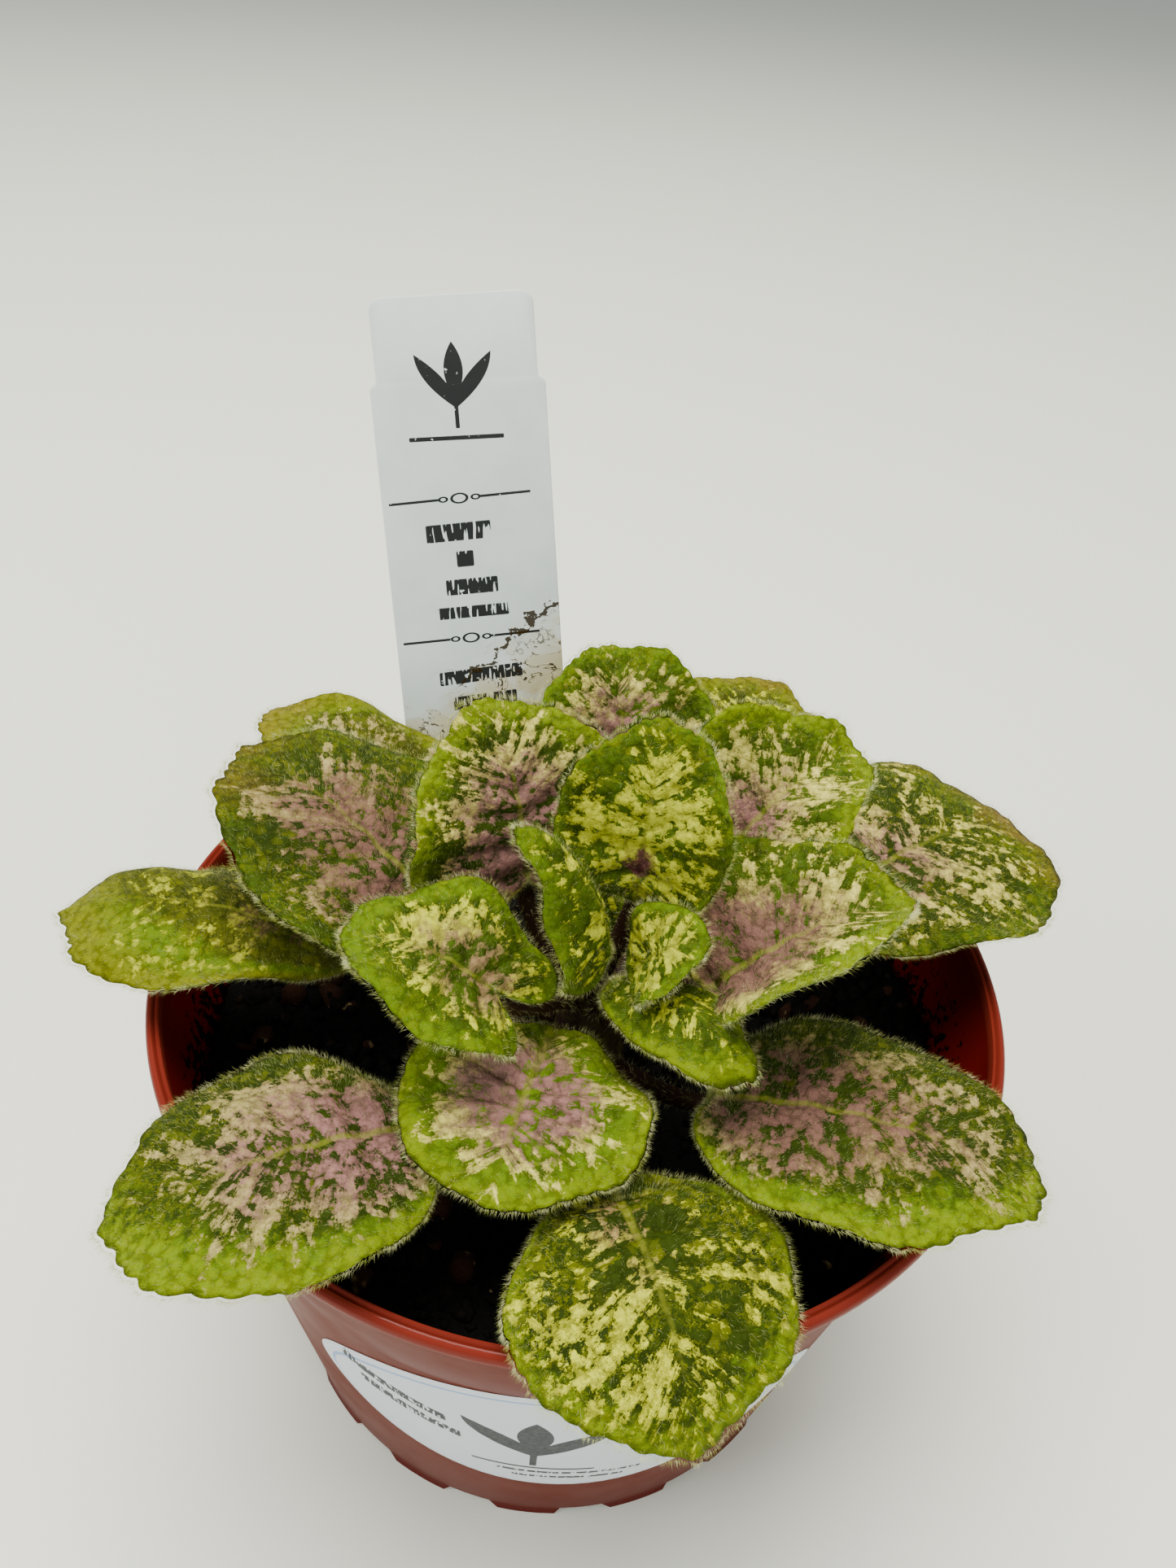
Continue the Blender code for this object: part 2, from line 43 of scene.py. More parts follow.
scene = dict(
    cameraSpot=(0.0, -101.0, 172.3),
    cameraRight=(0.99471, 0.07122, 0.07396),
    cameraUp=(-0.10216, 0.61438, 0.78237),
    cameraAhead=(-0.01029, 0.78579, -0.61841),
    cameraLens=27.03, cameraSensor=36, cameraNear=5,
    floorColour=(239, 240, 224), floorReach=4000,
    roomColour=(220, 227, 231), roomStrength=0.55, lampAim=60,
)


def tone(red, green, blue):  # a colour as a picture program gives it, 0 to 255
    spread = [((c / 255 + 0.055) / 1.055) ** 2.4 for c in (red, green, blue)]
    return tuple(spread) + (1.0,)


def operator(operation, turned=False):
    def act(self, *other):
        values = (*other, self) if turned else (self, *other)
        return self.finish.node("Math", dict(operation=operation), *values)
    return act


class Wire:  # one output socket, so that sums on it add Math nodes
    def __init__(self, finish, socket):
        self.finish = finish
        self.socket = socket

    __add__ = operator("ADD")
    __radd__ = operator("ADD", turned=True)
    __sub__ = operator("SUBTRACT")
    __rsub__ = operator("SUBTRACT", turned=True)
    __mul__ = operator("MULTIPLY")
    __truediv__ = operator("DIVIDE")
    __pow__ = operator("POWER")
    __abs__ = operator("ABSOLUTE")


class Finish:  # one material and the nodes that feed its shader
    def __init__(self, name, roughness, gloss=0.5):
        self.material = bpy.data.materials.new(name)
        self.material.use_nodes = True
        self.tree = self.material.node_tree
        self.shader = self.tree.nodes["Principled BSDF"]
        self.shader.inputs["Roughness"].default_value = roughness
        self.shader.inputs["Specular IOR Level"].default_value = gloss

    def feed(self, socket, value):
        if isinstance(value, Wire):
            self.tree.links.new(value.socket, socket)
        elif value is not None:
            socket.default_value = value

    def node(self, kind, settings=None, *inputs, out=0, **named):
        made = self.tree.nodes.new("ShaderNode" + kind)
        for key, value in (settings or {}).items():
            setattr(made, key, value)
        for socket, value in zip(made.inputs, inputs):
            self.feed(socket, value)
        for key, value in named.items():
            self.feed(made.inputs[key], value)
        return Wire(self, made.outputs[out])

    def parts(self, vector):
        split = self.node("SeparateXYZ", None, vector)
        return [Wire(self, socket) for socket in split.socket.node.outputs]

    def mark(self, name):  # an attribute that the mesh carries
        return self.node("Attribute", dict(attribute_name=name), out=1)

    def place(self):
        return self.node("TexCoord", out=3)

    def vector(self, x, y, z):
        return self.node("CombineXYZ", None, x, y, z)

    def grain(self, vector, scale, detail=3, roughness=0.6, distortion=0):
        return self.node("TexNoise", None, Vector=vector, Scale=scale, Detail=detail,
                         Roughness=roughness, Distortion=distortion)

    def step(self, value, low, high, start=0, end=1):
        return self.node("MapRange", dict(interpolation_type="SMOOTHSTEP"), value, low, high, start, end)

    def blend(self, share, first, second):
        return self.node("Mix", dict(data_type="RGBA"), share, None, None, None, None,
                         None, first, second, out=2)

    def bump(self, height, strength, distance):
        return self.node("Bump", None, Height=height, Strength=strength, Distance=distance)

    def wear(self, colour=None, roughness=None, normal=None, coat=None):
        for key, value in (("Base Color", colour), ("Roughness", roughness), ("Normal", normal),
                           ("Coat Weight", coat)):
            self.feed(self.shader.inputs[key], value)
        return self.material


def meshOf(form, name):
    mesh = bpy.data.meshes.new(name)
    form.to_mesh(mesh)
    form.free()
    return mesh


def linked(name, data):
    made = bpy.data.objects.new(name, data)
    bpy.context.collection.objects.link(made)
    return made


def pointsOf(mesh):
    flat = np.empty(len(mesh.vertices) * 3)
    mesh.vertices.foreach_get("co", flat)
    return flat.reshape(-1, 3)


def movePoints(mesh, points):  # to places in mm
    mesh.vertices.foreach_set("co", (points * mm).ravel())


def markPoints(mesh, name, values):
    layer = mesh.attributes.new(name, "FLOAT_VECTOR", "POINT")
    layer.data.foreach_set("vector", np.asarray(values, np.float32).ravel())


def woven(columns, rows, shape):  # a grid bent into a shell, with marks for its material
    form = bmesh.new()
    bmesh.ops.create_grid(form, x_segments=columns, y_segments=rows, size=0.5)
    mesh = meshOf(form, "woven")
    places = pointsOf(mesh)
    points, marks = shape(places[:, 0] + 0.5, places[:, 1] + 0.5)
    movePoints(mesh, points)
    for name, values in marks.items():
        markPoints(mesh, name, values)
    return mesh


def piece(name, meshes, materials, replaced=(), smooth=180, merge=0.0002):
    form = bmesh.new()
    for index, mesh in enumerate(meshes):
        known = len(form.faces)
        form.from_mesh(mesh)
        form.faces.ensure_lookup_table()
        for face in form.faces[known:]:
            face.material_index = index
        bpy.data.meshes.remove(mesh)
    if merge:
        bmesh.ops.remove_doubles(form, verts=form.verts, dist=merge * mm)
        bmesh.ops.recalc_face_normals(form, faces=form.faces)
    mesh = meshOf(form, name)
    mesh.shade_smooth()
    if smooth < 180:
        mesh.set_sharp_from_angle(angle=radians(smooth))
    for material in materials:
        mesh.materials.append(material)
    made = linked(name, mesh)
    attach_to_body(made, "root")
    if replaced:
        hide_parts(*replaced)
    return made


def copies(template, count):  # a mesh that holds the template's form count times over
    seed = meshOf(template, "seed")
    form = bmesh.new()
    form.from_mesh(seed)
    bpy.data.meshes.remove(seed)
    size = len(form.verts)
    total = 1
    while total < count:
        extra = min(total, count - total)
        form.verts.ensure_lookup_table()
        wanted = set(form.verts[:extra * size])
        faces = [face for face in form.faces if face.verts[0] in wanted]
        bmesh.ops.duplicate(form, geom=list(wanted) + faces)
        total += extra
    mesh = meshOf(form, "copies")
    return mesh, pointsOf(mesh), np.arange(len(mesh.vertices)) // size


def unit(vectors):
    return vectors / np.maximum(np.linalg.norm(vectors, axis=-1, keepdims=True), 1e-9)


print("camera, light and floor")
camera = linked("camera", bpy.data.cameras.new("camera"))
ahead = Vector(scene["cameraAhead"])
camera.matrix_world = Matrix((scene["cameraRight"], scene["cameraUp"], -ahead)).transposed().to_4x4()
camera.location = Vector(scene["cameraSpot"]) * mm
camera.data.lens = scene["cameraLens"]
camera.data.sensor_width = scene["cameraSensor"]
camera.data.clip_start = scene["cameraNear"] * mm
bpy.context.scene.camera = camera

world = bpy.data.worlds.new("room")
world.use_nodes = True
sky = world.node_tree.nodes["Background"]
sky.inputs["Color"].default_value = tone(*scene["roomColour"])
sky.inputs["Strength"].default_value = scene["roomStrength"]
bpy.context.scene.world = world

lamps = dict(  # place in mm, size in mm, watts, colour
    overhead=((-100, 150, 1300), 1000, 31, (255, 252, 246)),
    left=((-840, -320, 660), 600, 5.6, (246, 250, 255)),
    front=((440, -840, 760), 640, 4.8, (255, 253, 250)),
)
for name, (spot, size, watts, colour) in lamps.items():
    light = bpy.data.lights.new(name, "AREA")
    light.shape = "DISK"
    light.size = size * mm
    light.energy = watts
    light.color = tone(*colour)[:3]
    lamp = linked(name, light)
    lamp.location = Vector(spot) * mm
    aim = Vector((0, 0, scene["lampAim"])) - Vector(spot)
    lamp.rotation_euler = aim.to_track_quat("-Z", "Y").to_euler()

floorForm = bmesh.new()
bmesh.ops.create_grid(floorForm, x_segments=1, y_segments=1, size=scene["floorReach"] * mm)
floor = linked("floor", meshOf(floorForm, "floor"))
floor.data.materials.append(Finish("paleFloor", 0.6).wear(tone(*scene["floorColour"])))

print("leaf shapes")
potTop = 67  # leaf and crown heights below are measured from the pot's rim
crown = dict(spot=(1, -7.5), heights=(-12, -8, -4, 0, 4, 6), radii=(5.6, 5, 4, 3, 2.1, 1.2),
             rootHeights=(-22, -16), rootRadii=(0.9, 4.2), tip=6.6, span=(-23, 7))
blade = dict(thick=0.8, tipPoint=0.025, tipSpread=0.25, sinusEnd=0.08, foldSoftness=0.6,
             scallop=0.014, fineScallop=0.013, wander=0.018, fineWander=0.014, calmByStalk=0.4,
             topShare=0.64, topSink=0.3, underSink=0.9, edgeRound=10, underRelief=0.8,
             rowSpread=0.85, rows=46, smallRows=30, smallWidth=18, columnsPerTooth=12)
stalks = dict(steps=18, columns=12, start=0.75, taper=0.72, pull=0.8, hook=0.3, ripple=0.05,
              ribSteps=7, ribReach=0.64, ribDrop=1.25, ribThick=0.6, ribEnd=0.18)


def shaped(base, tip, width, attach, **other):
    usual = dict(arch=2, left=(0, -15), right=(0, -15), roll=0, lobe=0.15, ovate=0.2, wave=1, waves=5,
                 teeth=18, stalk=1.3, rise=25, notch=0.26)
    base = np.array(base, float)
    tip = np.array(tip, float)
    return dict(usual, base=base, tip=tip, length=float(np.linalg.norm(tip - base)), width=width,
                attach=attach, **other)


leaves = dict(  # the midrib's two ends, the width and the stalk's height on the crown, in mm
    leaf_01=shaped((-27, -9, 5), (-61, -7.5, 5), 21, -8, arch=5, left=(-5, -20), right=(-10, -20),
                   lobe=0.04, ovate=-0.25),
    leaf_02=shaped((-22, 16, 8.5), (-46, 24, 13), 20, -8.5, arch=3, right=(5, -20)),
    leaf_03=shaped((-16, -7.5, 11), (-42.2, 6.6, 21.3), 31, -4, arch=3, left=(0, -18),
                   right=(12, -10), roll=12, lobe=0.12),
    leaf_04=shaped((-7, -5.5, 17.5), (-13, 2, 34.5), 26, 0.5, left=(-8, 5), right=(10, 10), lobe=0.26,
                   wave=1.3, rise=60, notch=0.16),
    leaf_05=shaped((5, -9, 22), (6, -3, 38), 19, 4.5, arch=1, left=(10, 10), right=(10, 10),
                   lobe=0.25, stalk=1.1, rise=75, notch=0),
    leaf_06=shaped((3, 17, 13), (-0.5, 27, 28), 24, -5, left=(10, 10), right=(10, 10)),
    leaf_07=shaped((16, 27, 8), (23, 47, 12), 22, -8.5, left=(10, -10), right=(10, -10)),
    leaf_08=shaped((15, 2, 15), (30, 13, 25), 23, -3, arch=3, left=(50, 10), right=(10, 0), lobe=0.12),
    leaf_09=shaped((28, 4.5, 8), (56, 25.3, 7.8), 33.5, -8, arch=3, left=(4, -14), right=(-4, -8),
                   lobe=0.1, ovate=-0.16),
    leaf_10=shaped((14, -17, 15), (33, -10, 23), 23, -1.5, left=(30, 5), right=(30, 5), lobe=0.12),
    leaf_11=shaped((6.6, -17.8, 18.4), (12.6, -17.6, 21.2), 12, 2.8, arch=1, left=(20, -5),
                   right=(5, -5), lobe=0.5, wave=0.4, teeth=12, stalk=0.8, rise=60, notch=0),
    leaf_12=shaped((2.6, -18, 20.8), (-7.2, -18.5, 34.6), 13, 4.7, left=(-5, -10), right=(-58, -20),
                   roll=-35, lobe=0.42, ovate=0.42, wave=0.9, teeth=14, stalk=0.9, rise=60),
    leaf_13=shaped((-9.5, -22, 17), (-24.5, -18.3, 18.5), 19, 1, left=(14, -12), right=(18, -16),
                   lobe=0.42, wave=1.3, rise=55, notch=0.18),
    leaf_14=shaped((4.4, -16.8, 13.8), (17.8, -28.4, 14.4), 12.5, 0, arch=3, left=(-30, 0),
                   right=(-20, -10), ovate=-0.15, wave=0.5, teeth=14, stalk=0.9, rise=55),
    leaf_15=shaped((-4.2, -28.2, 9), (-6.5, -40, 6), 26, -4.5, arch=1, left=(5, -20), right=(5, -15),
                   lobe=0.85, ovate=0, wave=1.3, notch=0),
    leaf_16=shaped((-15.5, -31, 4.8), (-41, -45.5, 4.5), 29, -8, arch=3, left=(5, -15),
                   right=(0, -20), roll=4, lobe=0.08, ovate=0.05, wave=0.8),
    leaf_17=shaped((17.2, -24, 6), (48, -31, 5.5), 27, -8, arch=3, right=(8, -20), ovate=0.05,
                   wave=0.8),
    leaf_18=shaped((6, -36.5, 4.5), (14.5, -55.5, -3), 29, -8.5, arch=4, left=(0, -17),
                   right=(0, -20), lobe=0.16, ovate=-0.06, wave=0.8),
    leaf_19=shaped((1.5, -5, 10), (2, -2.5, 16), 7, 5, arch=0.5, left=(20, 10), right=(20, 10),
                   wave=0.2, teeth=10, stalk=0.7, rise=75),
    leaf_20=shaped((5.5, -5, 10.5), (9, -2, 15), 6, 3.5, arch=0.5, left=(25, 10), right=(25, 10),
                   wave=0.2, teeth=10, stalk=0.6, rise=65),
)


def leafAxes(leaf):  # the midrib's chord, the leaf's left and its upper side
    along = (leaf["tip"] - leaf["base"]) / leaf["length"]
    left = unit(np.cross((0, 0, 1), along))
    return along, left, np.cross(along, left)


def flatBlade(leaf, angle, share):  # the blade laid flat, the stalk's end at (0, 0)
    lobe = leaf["lobe"]
    along = (1 - lobe) / 2 + (1 + lobe) / 2 * np.cos(angle)
    across = np.sin(angle) * (1 - leaf["ovate"] * np.cos(angle))
    fromNotch = pi - np.abs(angle)
    notch = 1
    if leaf["notch"]:  # without one, the lobes by the stalk close up
        notch = 1 - (1 - min(1, blade["sinusEnd"] / lobe)) * np.exp(
            -(fromNotch / leaf["notch"]) ** 2)
    scallop = (blade["scallop"] * (np.abs(np.cos(leaf["teeth"] * angle / 2)) - 0.5)
               + blade["fineScallop"] * (np.abs(np.cos(leaf["teeth"] * 1.08 * angle + 0.6)) - 0.6))
    wander = (blade["wander"] * np.sin(3 * angle + leaf["base"][1])
              + blade["fineWander"] * np.sin(7 * angle + leaf["tip"][0]))
    rough = (scallop + wander) * np.clip(fromNotch / blade["calmByStalk"], 0, 1)
    reach = notch * (1 + rough) * share
    along = along + blade["tipPoint"] * np.exp(-(angle / blade["tipSpread"]) ** 2)
    along = along * leaf["length"] / (1 + blade["tipPoint"])
    return along * reach, across * leaf["width"] / 2 * reach


def bentBlade(leaf, angle, share, drop=0):  # points of the blade's upper face, in mm
    along, left, up = leafAxes(leaf)
    length = leaf["length"]
    x, y = flatBlade(leaf, angle, share)
    half = leaf["width"] / 2
    out = np.abs(y)
    isLeft = y >= 0
    fold = np.radians(np.where(isLeft, leaf["left"][0], leaf["right"][0]))
    cup = np.radians(np.where(isLeft, leaf["left"][1], leaf["right"][1]))
    bend = cup * out / half
    bend = np.where(np.abs(bend) < 1e-4, 1e-4, bend)
    flat = out * np.sin(bend) / bend
    rise = out * (1 - np.cos(bend)) / bend
    turn = fold * out / (out + blade["foldSoftness"])
    side = flat * np.cos(turn) - rise * np.sin(turn)
    rise = flat * np.sin(turn) + rise * np.cos(turn)
    phase = 1.7 * leaf["base"][0]  # so that no two leaves wave alike
    ripple = np.sin(leaf["waves"] * angle + phase)
    rise = rise + leaf["wave"] * share ** 2 * ripple * np.clip(1.5 * out / half, 0, 1) - drop
    side = side * np.where(isLeft, 1, -1)
    roll = radians(leaf["roll"])
    side, rise = side * cos(roll) - rise * sin(roll), side * sin(roll) + rise * cos(roll)
    part = x / length
    slope = np.arctan(4 * leaf["arch"] * (1 - 2 * part) / length)
    reach = x - rise * np.sin(slope)
    lift = 4 * leaf["arch"] * part * (1 - part) + rise * np.cos(slope)
    points = reach[:, None] * along + side[:, None] * left + lift[:, None] * up
    return points + leaf["base"] + (0, 0, potTop)


def bladeNormals(leaf, angle, share):
    near = np.clip(share, 0.06, 0.999)
    nudge = 0.01
    outwards = bentBlade(leaf, angle, near + nudge) - bentBlade(leaf, angle, near - nudge)
    around = bentBlade(leaf, angle + nudge, near) - bentBlade(leaf, angle - nudge, near)
    return unit(np.cross(outwards, around))


veins = dict(pairs=6.5, lean=0.27, gather=2.1, groove=0.42, puff=0.3, width=0.5, midribWidth=0.8,
             fullWidth=26)  # groove and puff are those of a blade this wide


def veinSteps(leaf, x, y):  # where on the midrib the side vein through (x, y) starts, 0 to 1
    out = np.abs(y)
    return (x + veins["lean"] * out) / (leaf["length"] + veins["gather"] * out)


def veinRelief(leaf, angle, share):  # above 0 where the blade puffs up, below 0 in the veins
    x, y = flatBlade(leaf, angle, share)
    length = leaf["length"]
    start = veinSteps(leaf, x, y) * veins["pairs"]
    spacing = (length + veins["gather"] * np.abs(y)) / veins["pairs"]
    off = np.abs(start - np.round(start)) * spacing
    size = leaf["width"] / veins["fullWidth"]
    fade = np.clip(1.15 - share, 0, 1) * np.clip(share / 0.2, 0, 1)
    side = np.exp(-(off / (veins["width"] * size)) ** 2) * np.clip(1 - start / veins["pairs"], 0, 1)
    middle = np.exp(-(y / (veins["midribWidth"] * size)) ** 2) * np.clip(1.05 - x / length, 0, 1)
    middle = middle * np.clip(1 + x, 0, 1)
    puff = np.cos(pi * np.clip(off / spacing * 2, 0, 1)) * -veins["puff"] * size
    return puff * fade - veins["groove"] * size * np.maximum(side * fade, middle)


def bladeMarks(leaf, angle, share, under):
    x, y = flatBlade(leaf, angle, share)
    return {"veinPlace": np.stack((veinSteps(leaf, x, y), y / leaf["width"] * 2, share), 1),
            "leafPlace": np.stack((x / leaf["length"], y / leaf["width"] * 2, under), 1)}


def bladeShell(leaf):
    topShare = blade["topShare"]  # of the grid's rows, for the upper face

    def shape(u, v):
        angle = (u * 2 - 1) * pi
        isTop = v <= topShare
        share = np.where(isTop, v / topShare, (1 - v) / (1 - topShare))
        share = np.clip(share, 0, 1) ** blade["rowSpread"]
        half = blade["thick"] / 2
        bulge = np.sqrt(np.clip(1 - share ** blade["edgeRound"], 0, 1)) * half
        relief = veinRelief(leaf, angle, share)
        offset = -half + np.where(isTop, bulge + relief, relief * blade["underRelief"] - bulge)
        points = bentBlade(leaf, angle, share) + bladeNormals(leaf, angle, share) * offset[:, None]
        centre = share < 1e-6  # each face closes at one point
        middle = bentBlade(leaf, np.zeros(1), np.zeros(1))[0]
        points[centre & isTop] = middle - (0, 0, blade["topSink"])
        points[centre & ~isTop] = middle - (0, 0, blade["underSink"])
        return points, bladeMarks(leaf, angle, share, np.where(isTop, 0, 1))
    rows = blade["rows"] if leaf["width"] > blade["smallWidth"] else blade["smallRows"]
    return woven(leaf["teeth"] * blade["columnsPerTooth"], rows, shape)


def stalkLine(leaf):  # the stalk's middle from inside the crown to under the midrib
    up = leafAxes(leaf)[2]
    foot = np.array((*crown["spot"], leaf["attach"] + potTop))
    base = leaf["base"] + (0, 0, potTop)
    away = unit((base - foot) * (1, 1, 0))
    ribShares = np.linspace(0, stalks["ribReach"], stalks["ribSteps"])
    rib = bentBlade(leaf, np.zeros(stalks["ribSteps"]), ribShares, drop=stalks["ribDrop"])
    rise = radians(leaf["rise"])
    crownRadius = np.interp(leaf["attach"], crown["heights"], crown["radii"])
    start = foot + away * crownRadius * stalks["start"]
    span = np.linalg.norm(rib[0] - start)
    leave = (away * cos(rise) + np.array((0, 0, 1)) * sin(rise)) * span
    arrive = (unit(rib[1] - rib[0]) + stalks["hook"] * up) * span * stalks["pull"]
    t = np.linspace(0, 1, stalks["steps"], endpoint=False)[:, None]
    line = ((2 * t ** 3 - 3 * t ** 2 + 1) * start + (t ** 3 - 2 * t ** 2 + t) * leave
            + (3 * t ** 2 - 2 * t ** 3) * rib[0] + (t ** 3 - t ** 2) * arrive)
    radii = np.concatenate((np.linspace(1.0, stalks["taper"], stalks["steps"]) * leaf["stalk"],
                            np.linspace(stalks["ribThick"] * leaf["stalk"], stalks["ribEnd"],
                                        stalks["ribSteps"])))
    return np.concatenate((line, rib)), radii


def tubeFrame(line):
    ahead = unit(np.gradient(line, axis=0))
    side = unit(np.cross(ahead, (0, 0, 1)))
    for k in range(1, len(side)):
        if side[k] @ side[k - 1] < 0:
            side[k] = -side[k]
    return side, np.cross(side, ahead)


def stalkShell(leaf):
    line, radii = stalkLine(leaf)
    side, over = tubeFrame(line)
    last = len(line) - 1

    def shape(u, v):
        k = np.clip(np.rint(v * last).astype(int), 0, last)
        turn = u * 2 * pi
        radius = radii[k] * (1 + stalks["ripple"] * np.sin(3 * turn + k * 0.4))
        radius = np.where((k == 0) | (k == last), 0, radius)
        points = line[k] + radius[:, None] * (side[k] * np.cos(turn)[:, None]
                                              + over[k] * np.sin(turn)[:, None])
        place = np.stack((v, u, np.full(len(u), 2.0)), 1)
        return points, {"veinPlace": place, "leafPlace": place}
    return woven(stalks["columns"], last, shape)


print("leaf finishes")
greens = dict(deep=tone(32, 42, 6), dark=tone(46, 60, 10), mid=tone(62, 82, 12),
              fresh=tone(88, 114, 8), lime=tone(110, 130, 6), yellow=tone(122, 126, 8),
              olive=tone(72, 76, 14), oliveYellow=tone(112, 116, 14))
pales = dict(cream=tone(220, 208, 104), straw=tone(208, 210, 54), butter=tone(184, 188, 50),
             buff=tone(180, 162, 102), mauve=tone(124, 86, 78), rose=tone(146, 102, 98),
             dusty=tone(84, 58, 46), tan=tone(144, 116, 80))


def toned(inner, rim, near, far, pale, seed, **other):
    # inner and rim are greens, near and far the pale tones by the stalk and beyond dusk, pale
    # is how much of the blade they cover, reach how far out they go, tipward how much more of
    # them the tip has, and seed picks the noise
    usual = dict(reach=0.85, dusk=0.5, rimStart=0.8, rimSide=0, fleck=0.5, blush=0, spot=0, tipward=0)
    return dict(usual, inner=greens[inner], rim=greens[rim], near=pales[near], far=pales[far],
                pale=pale, seed=seed, **other)


leafColours = dict(
    leaf_01=toned("olive", "oliveYellow", "dusty", "butter", 0.38, 1.3, reach=1, rimStart=0.75,
                  rimSide=0.8, fleck=0.8),
    leaf_02=toned("olive", "oliveYellow", "dusty", "buff", 0.58, 2.1, dusk=0.3, rimStart=0.7,
                  blush=0.4),
    leaf_03=toned("dark", "mid", "mauve", "buff", 0.58, 3.7, reach=0.95, dusk=0.8, rimStart=0.92,
                  blush=0.35, fleck=0.7),
    leaf_04=toned("dark", "lime", "rose", "cream", 0.92, 4.4, reach=0.88, dusk=0.66, rimStart=0.84),
    leaf_05=toned("mid", "fresh", "butter", "straw", 0.66, 5.2, reach=0.95, rimStart=0.92, spot=1,
                  fleck=0.8),
    leaf_06=toned("mid", "fresh", "rose", "cream", 0.72, 6.9, reach=0.95, dusk=0.7, rimStart=0.88,
                  fleck=0.7),
    leaf_07=toned("olive", "oliveYellow", "dusty", "straw", 0.55, 7.5, reach=0.9, blush=0.5),
    leaf_08=toned("mid", "lime", "rose", "cream", 0.78, 8.2, reach=0.9, rimStart=0.84),
    leaf_09=toned("dark", "mid", "rose", "cream", 0.52, 9.6, reach=1, rimStart=0.85, blush=0.7,
                  fleck=0.9),
    leaf_10=toned("mid", "lime", "mauve", "cream", 0.86, 10.1, reach=0.9, dusk=0.65, rimStart=0.86,
                  rimSide=-0.3),
    leaf_11=toned("mid", "fresh", "butter", "butter", 0.66, 11.8, reach=0.95),
    leaf_12=toned("mid", "fresh", "butter", "straw", 0.44, 12.4, reach=1),
    leaf_13=toned("mid", "fresh", "tan", "straw", 0.6, 13.3, rimStart=0.75),
    leaf_14=toned("mid", "lime", "butter", "straw", 0.38, 14.6, reach=1),
    leaf_15=toned("fresh", "lime", "rose", "cream", 0.8, 15.9, dusk=0.62, rimStart=0.78),
    leaf_16=toned("dark", "lime", "rose", "buff", 0.64, 16.2, reach=0.9, dusk=0.6, rimStart=0.88,
                  rimSide=0.5, fleck=0.7),
    leaf_17=toned("dark", "lime", "mauve", "buff", 0.65, 17.5, reach=0.95, dusk=0.72, rimStart=0.9,
                  rimSide=-0.4, fleck=0.6),
    leaf_18=toned("dark", "lime", "tan", "straw", 0.44, 18.7, reach=1.1, dusk=0.35, rimStart=0.86,
                  fleck=1, tipward=0.3),
    leaf_19=toned("mid", "fresh", "butter", "butter", 0.4, 19.1),
    leaf_20=toned("mid", "fresh", "butter", "butter", 0.4, 20.3),
)


leafGrain = dict(  # noise scales along and across the leaf, then by the metre, and jolt in metres
    streaks=(14, 1.6), patches=(5, 1.5), crumbs=820, cells=1050, specks=2300, jolt=0.0016)


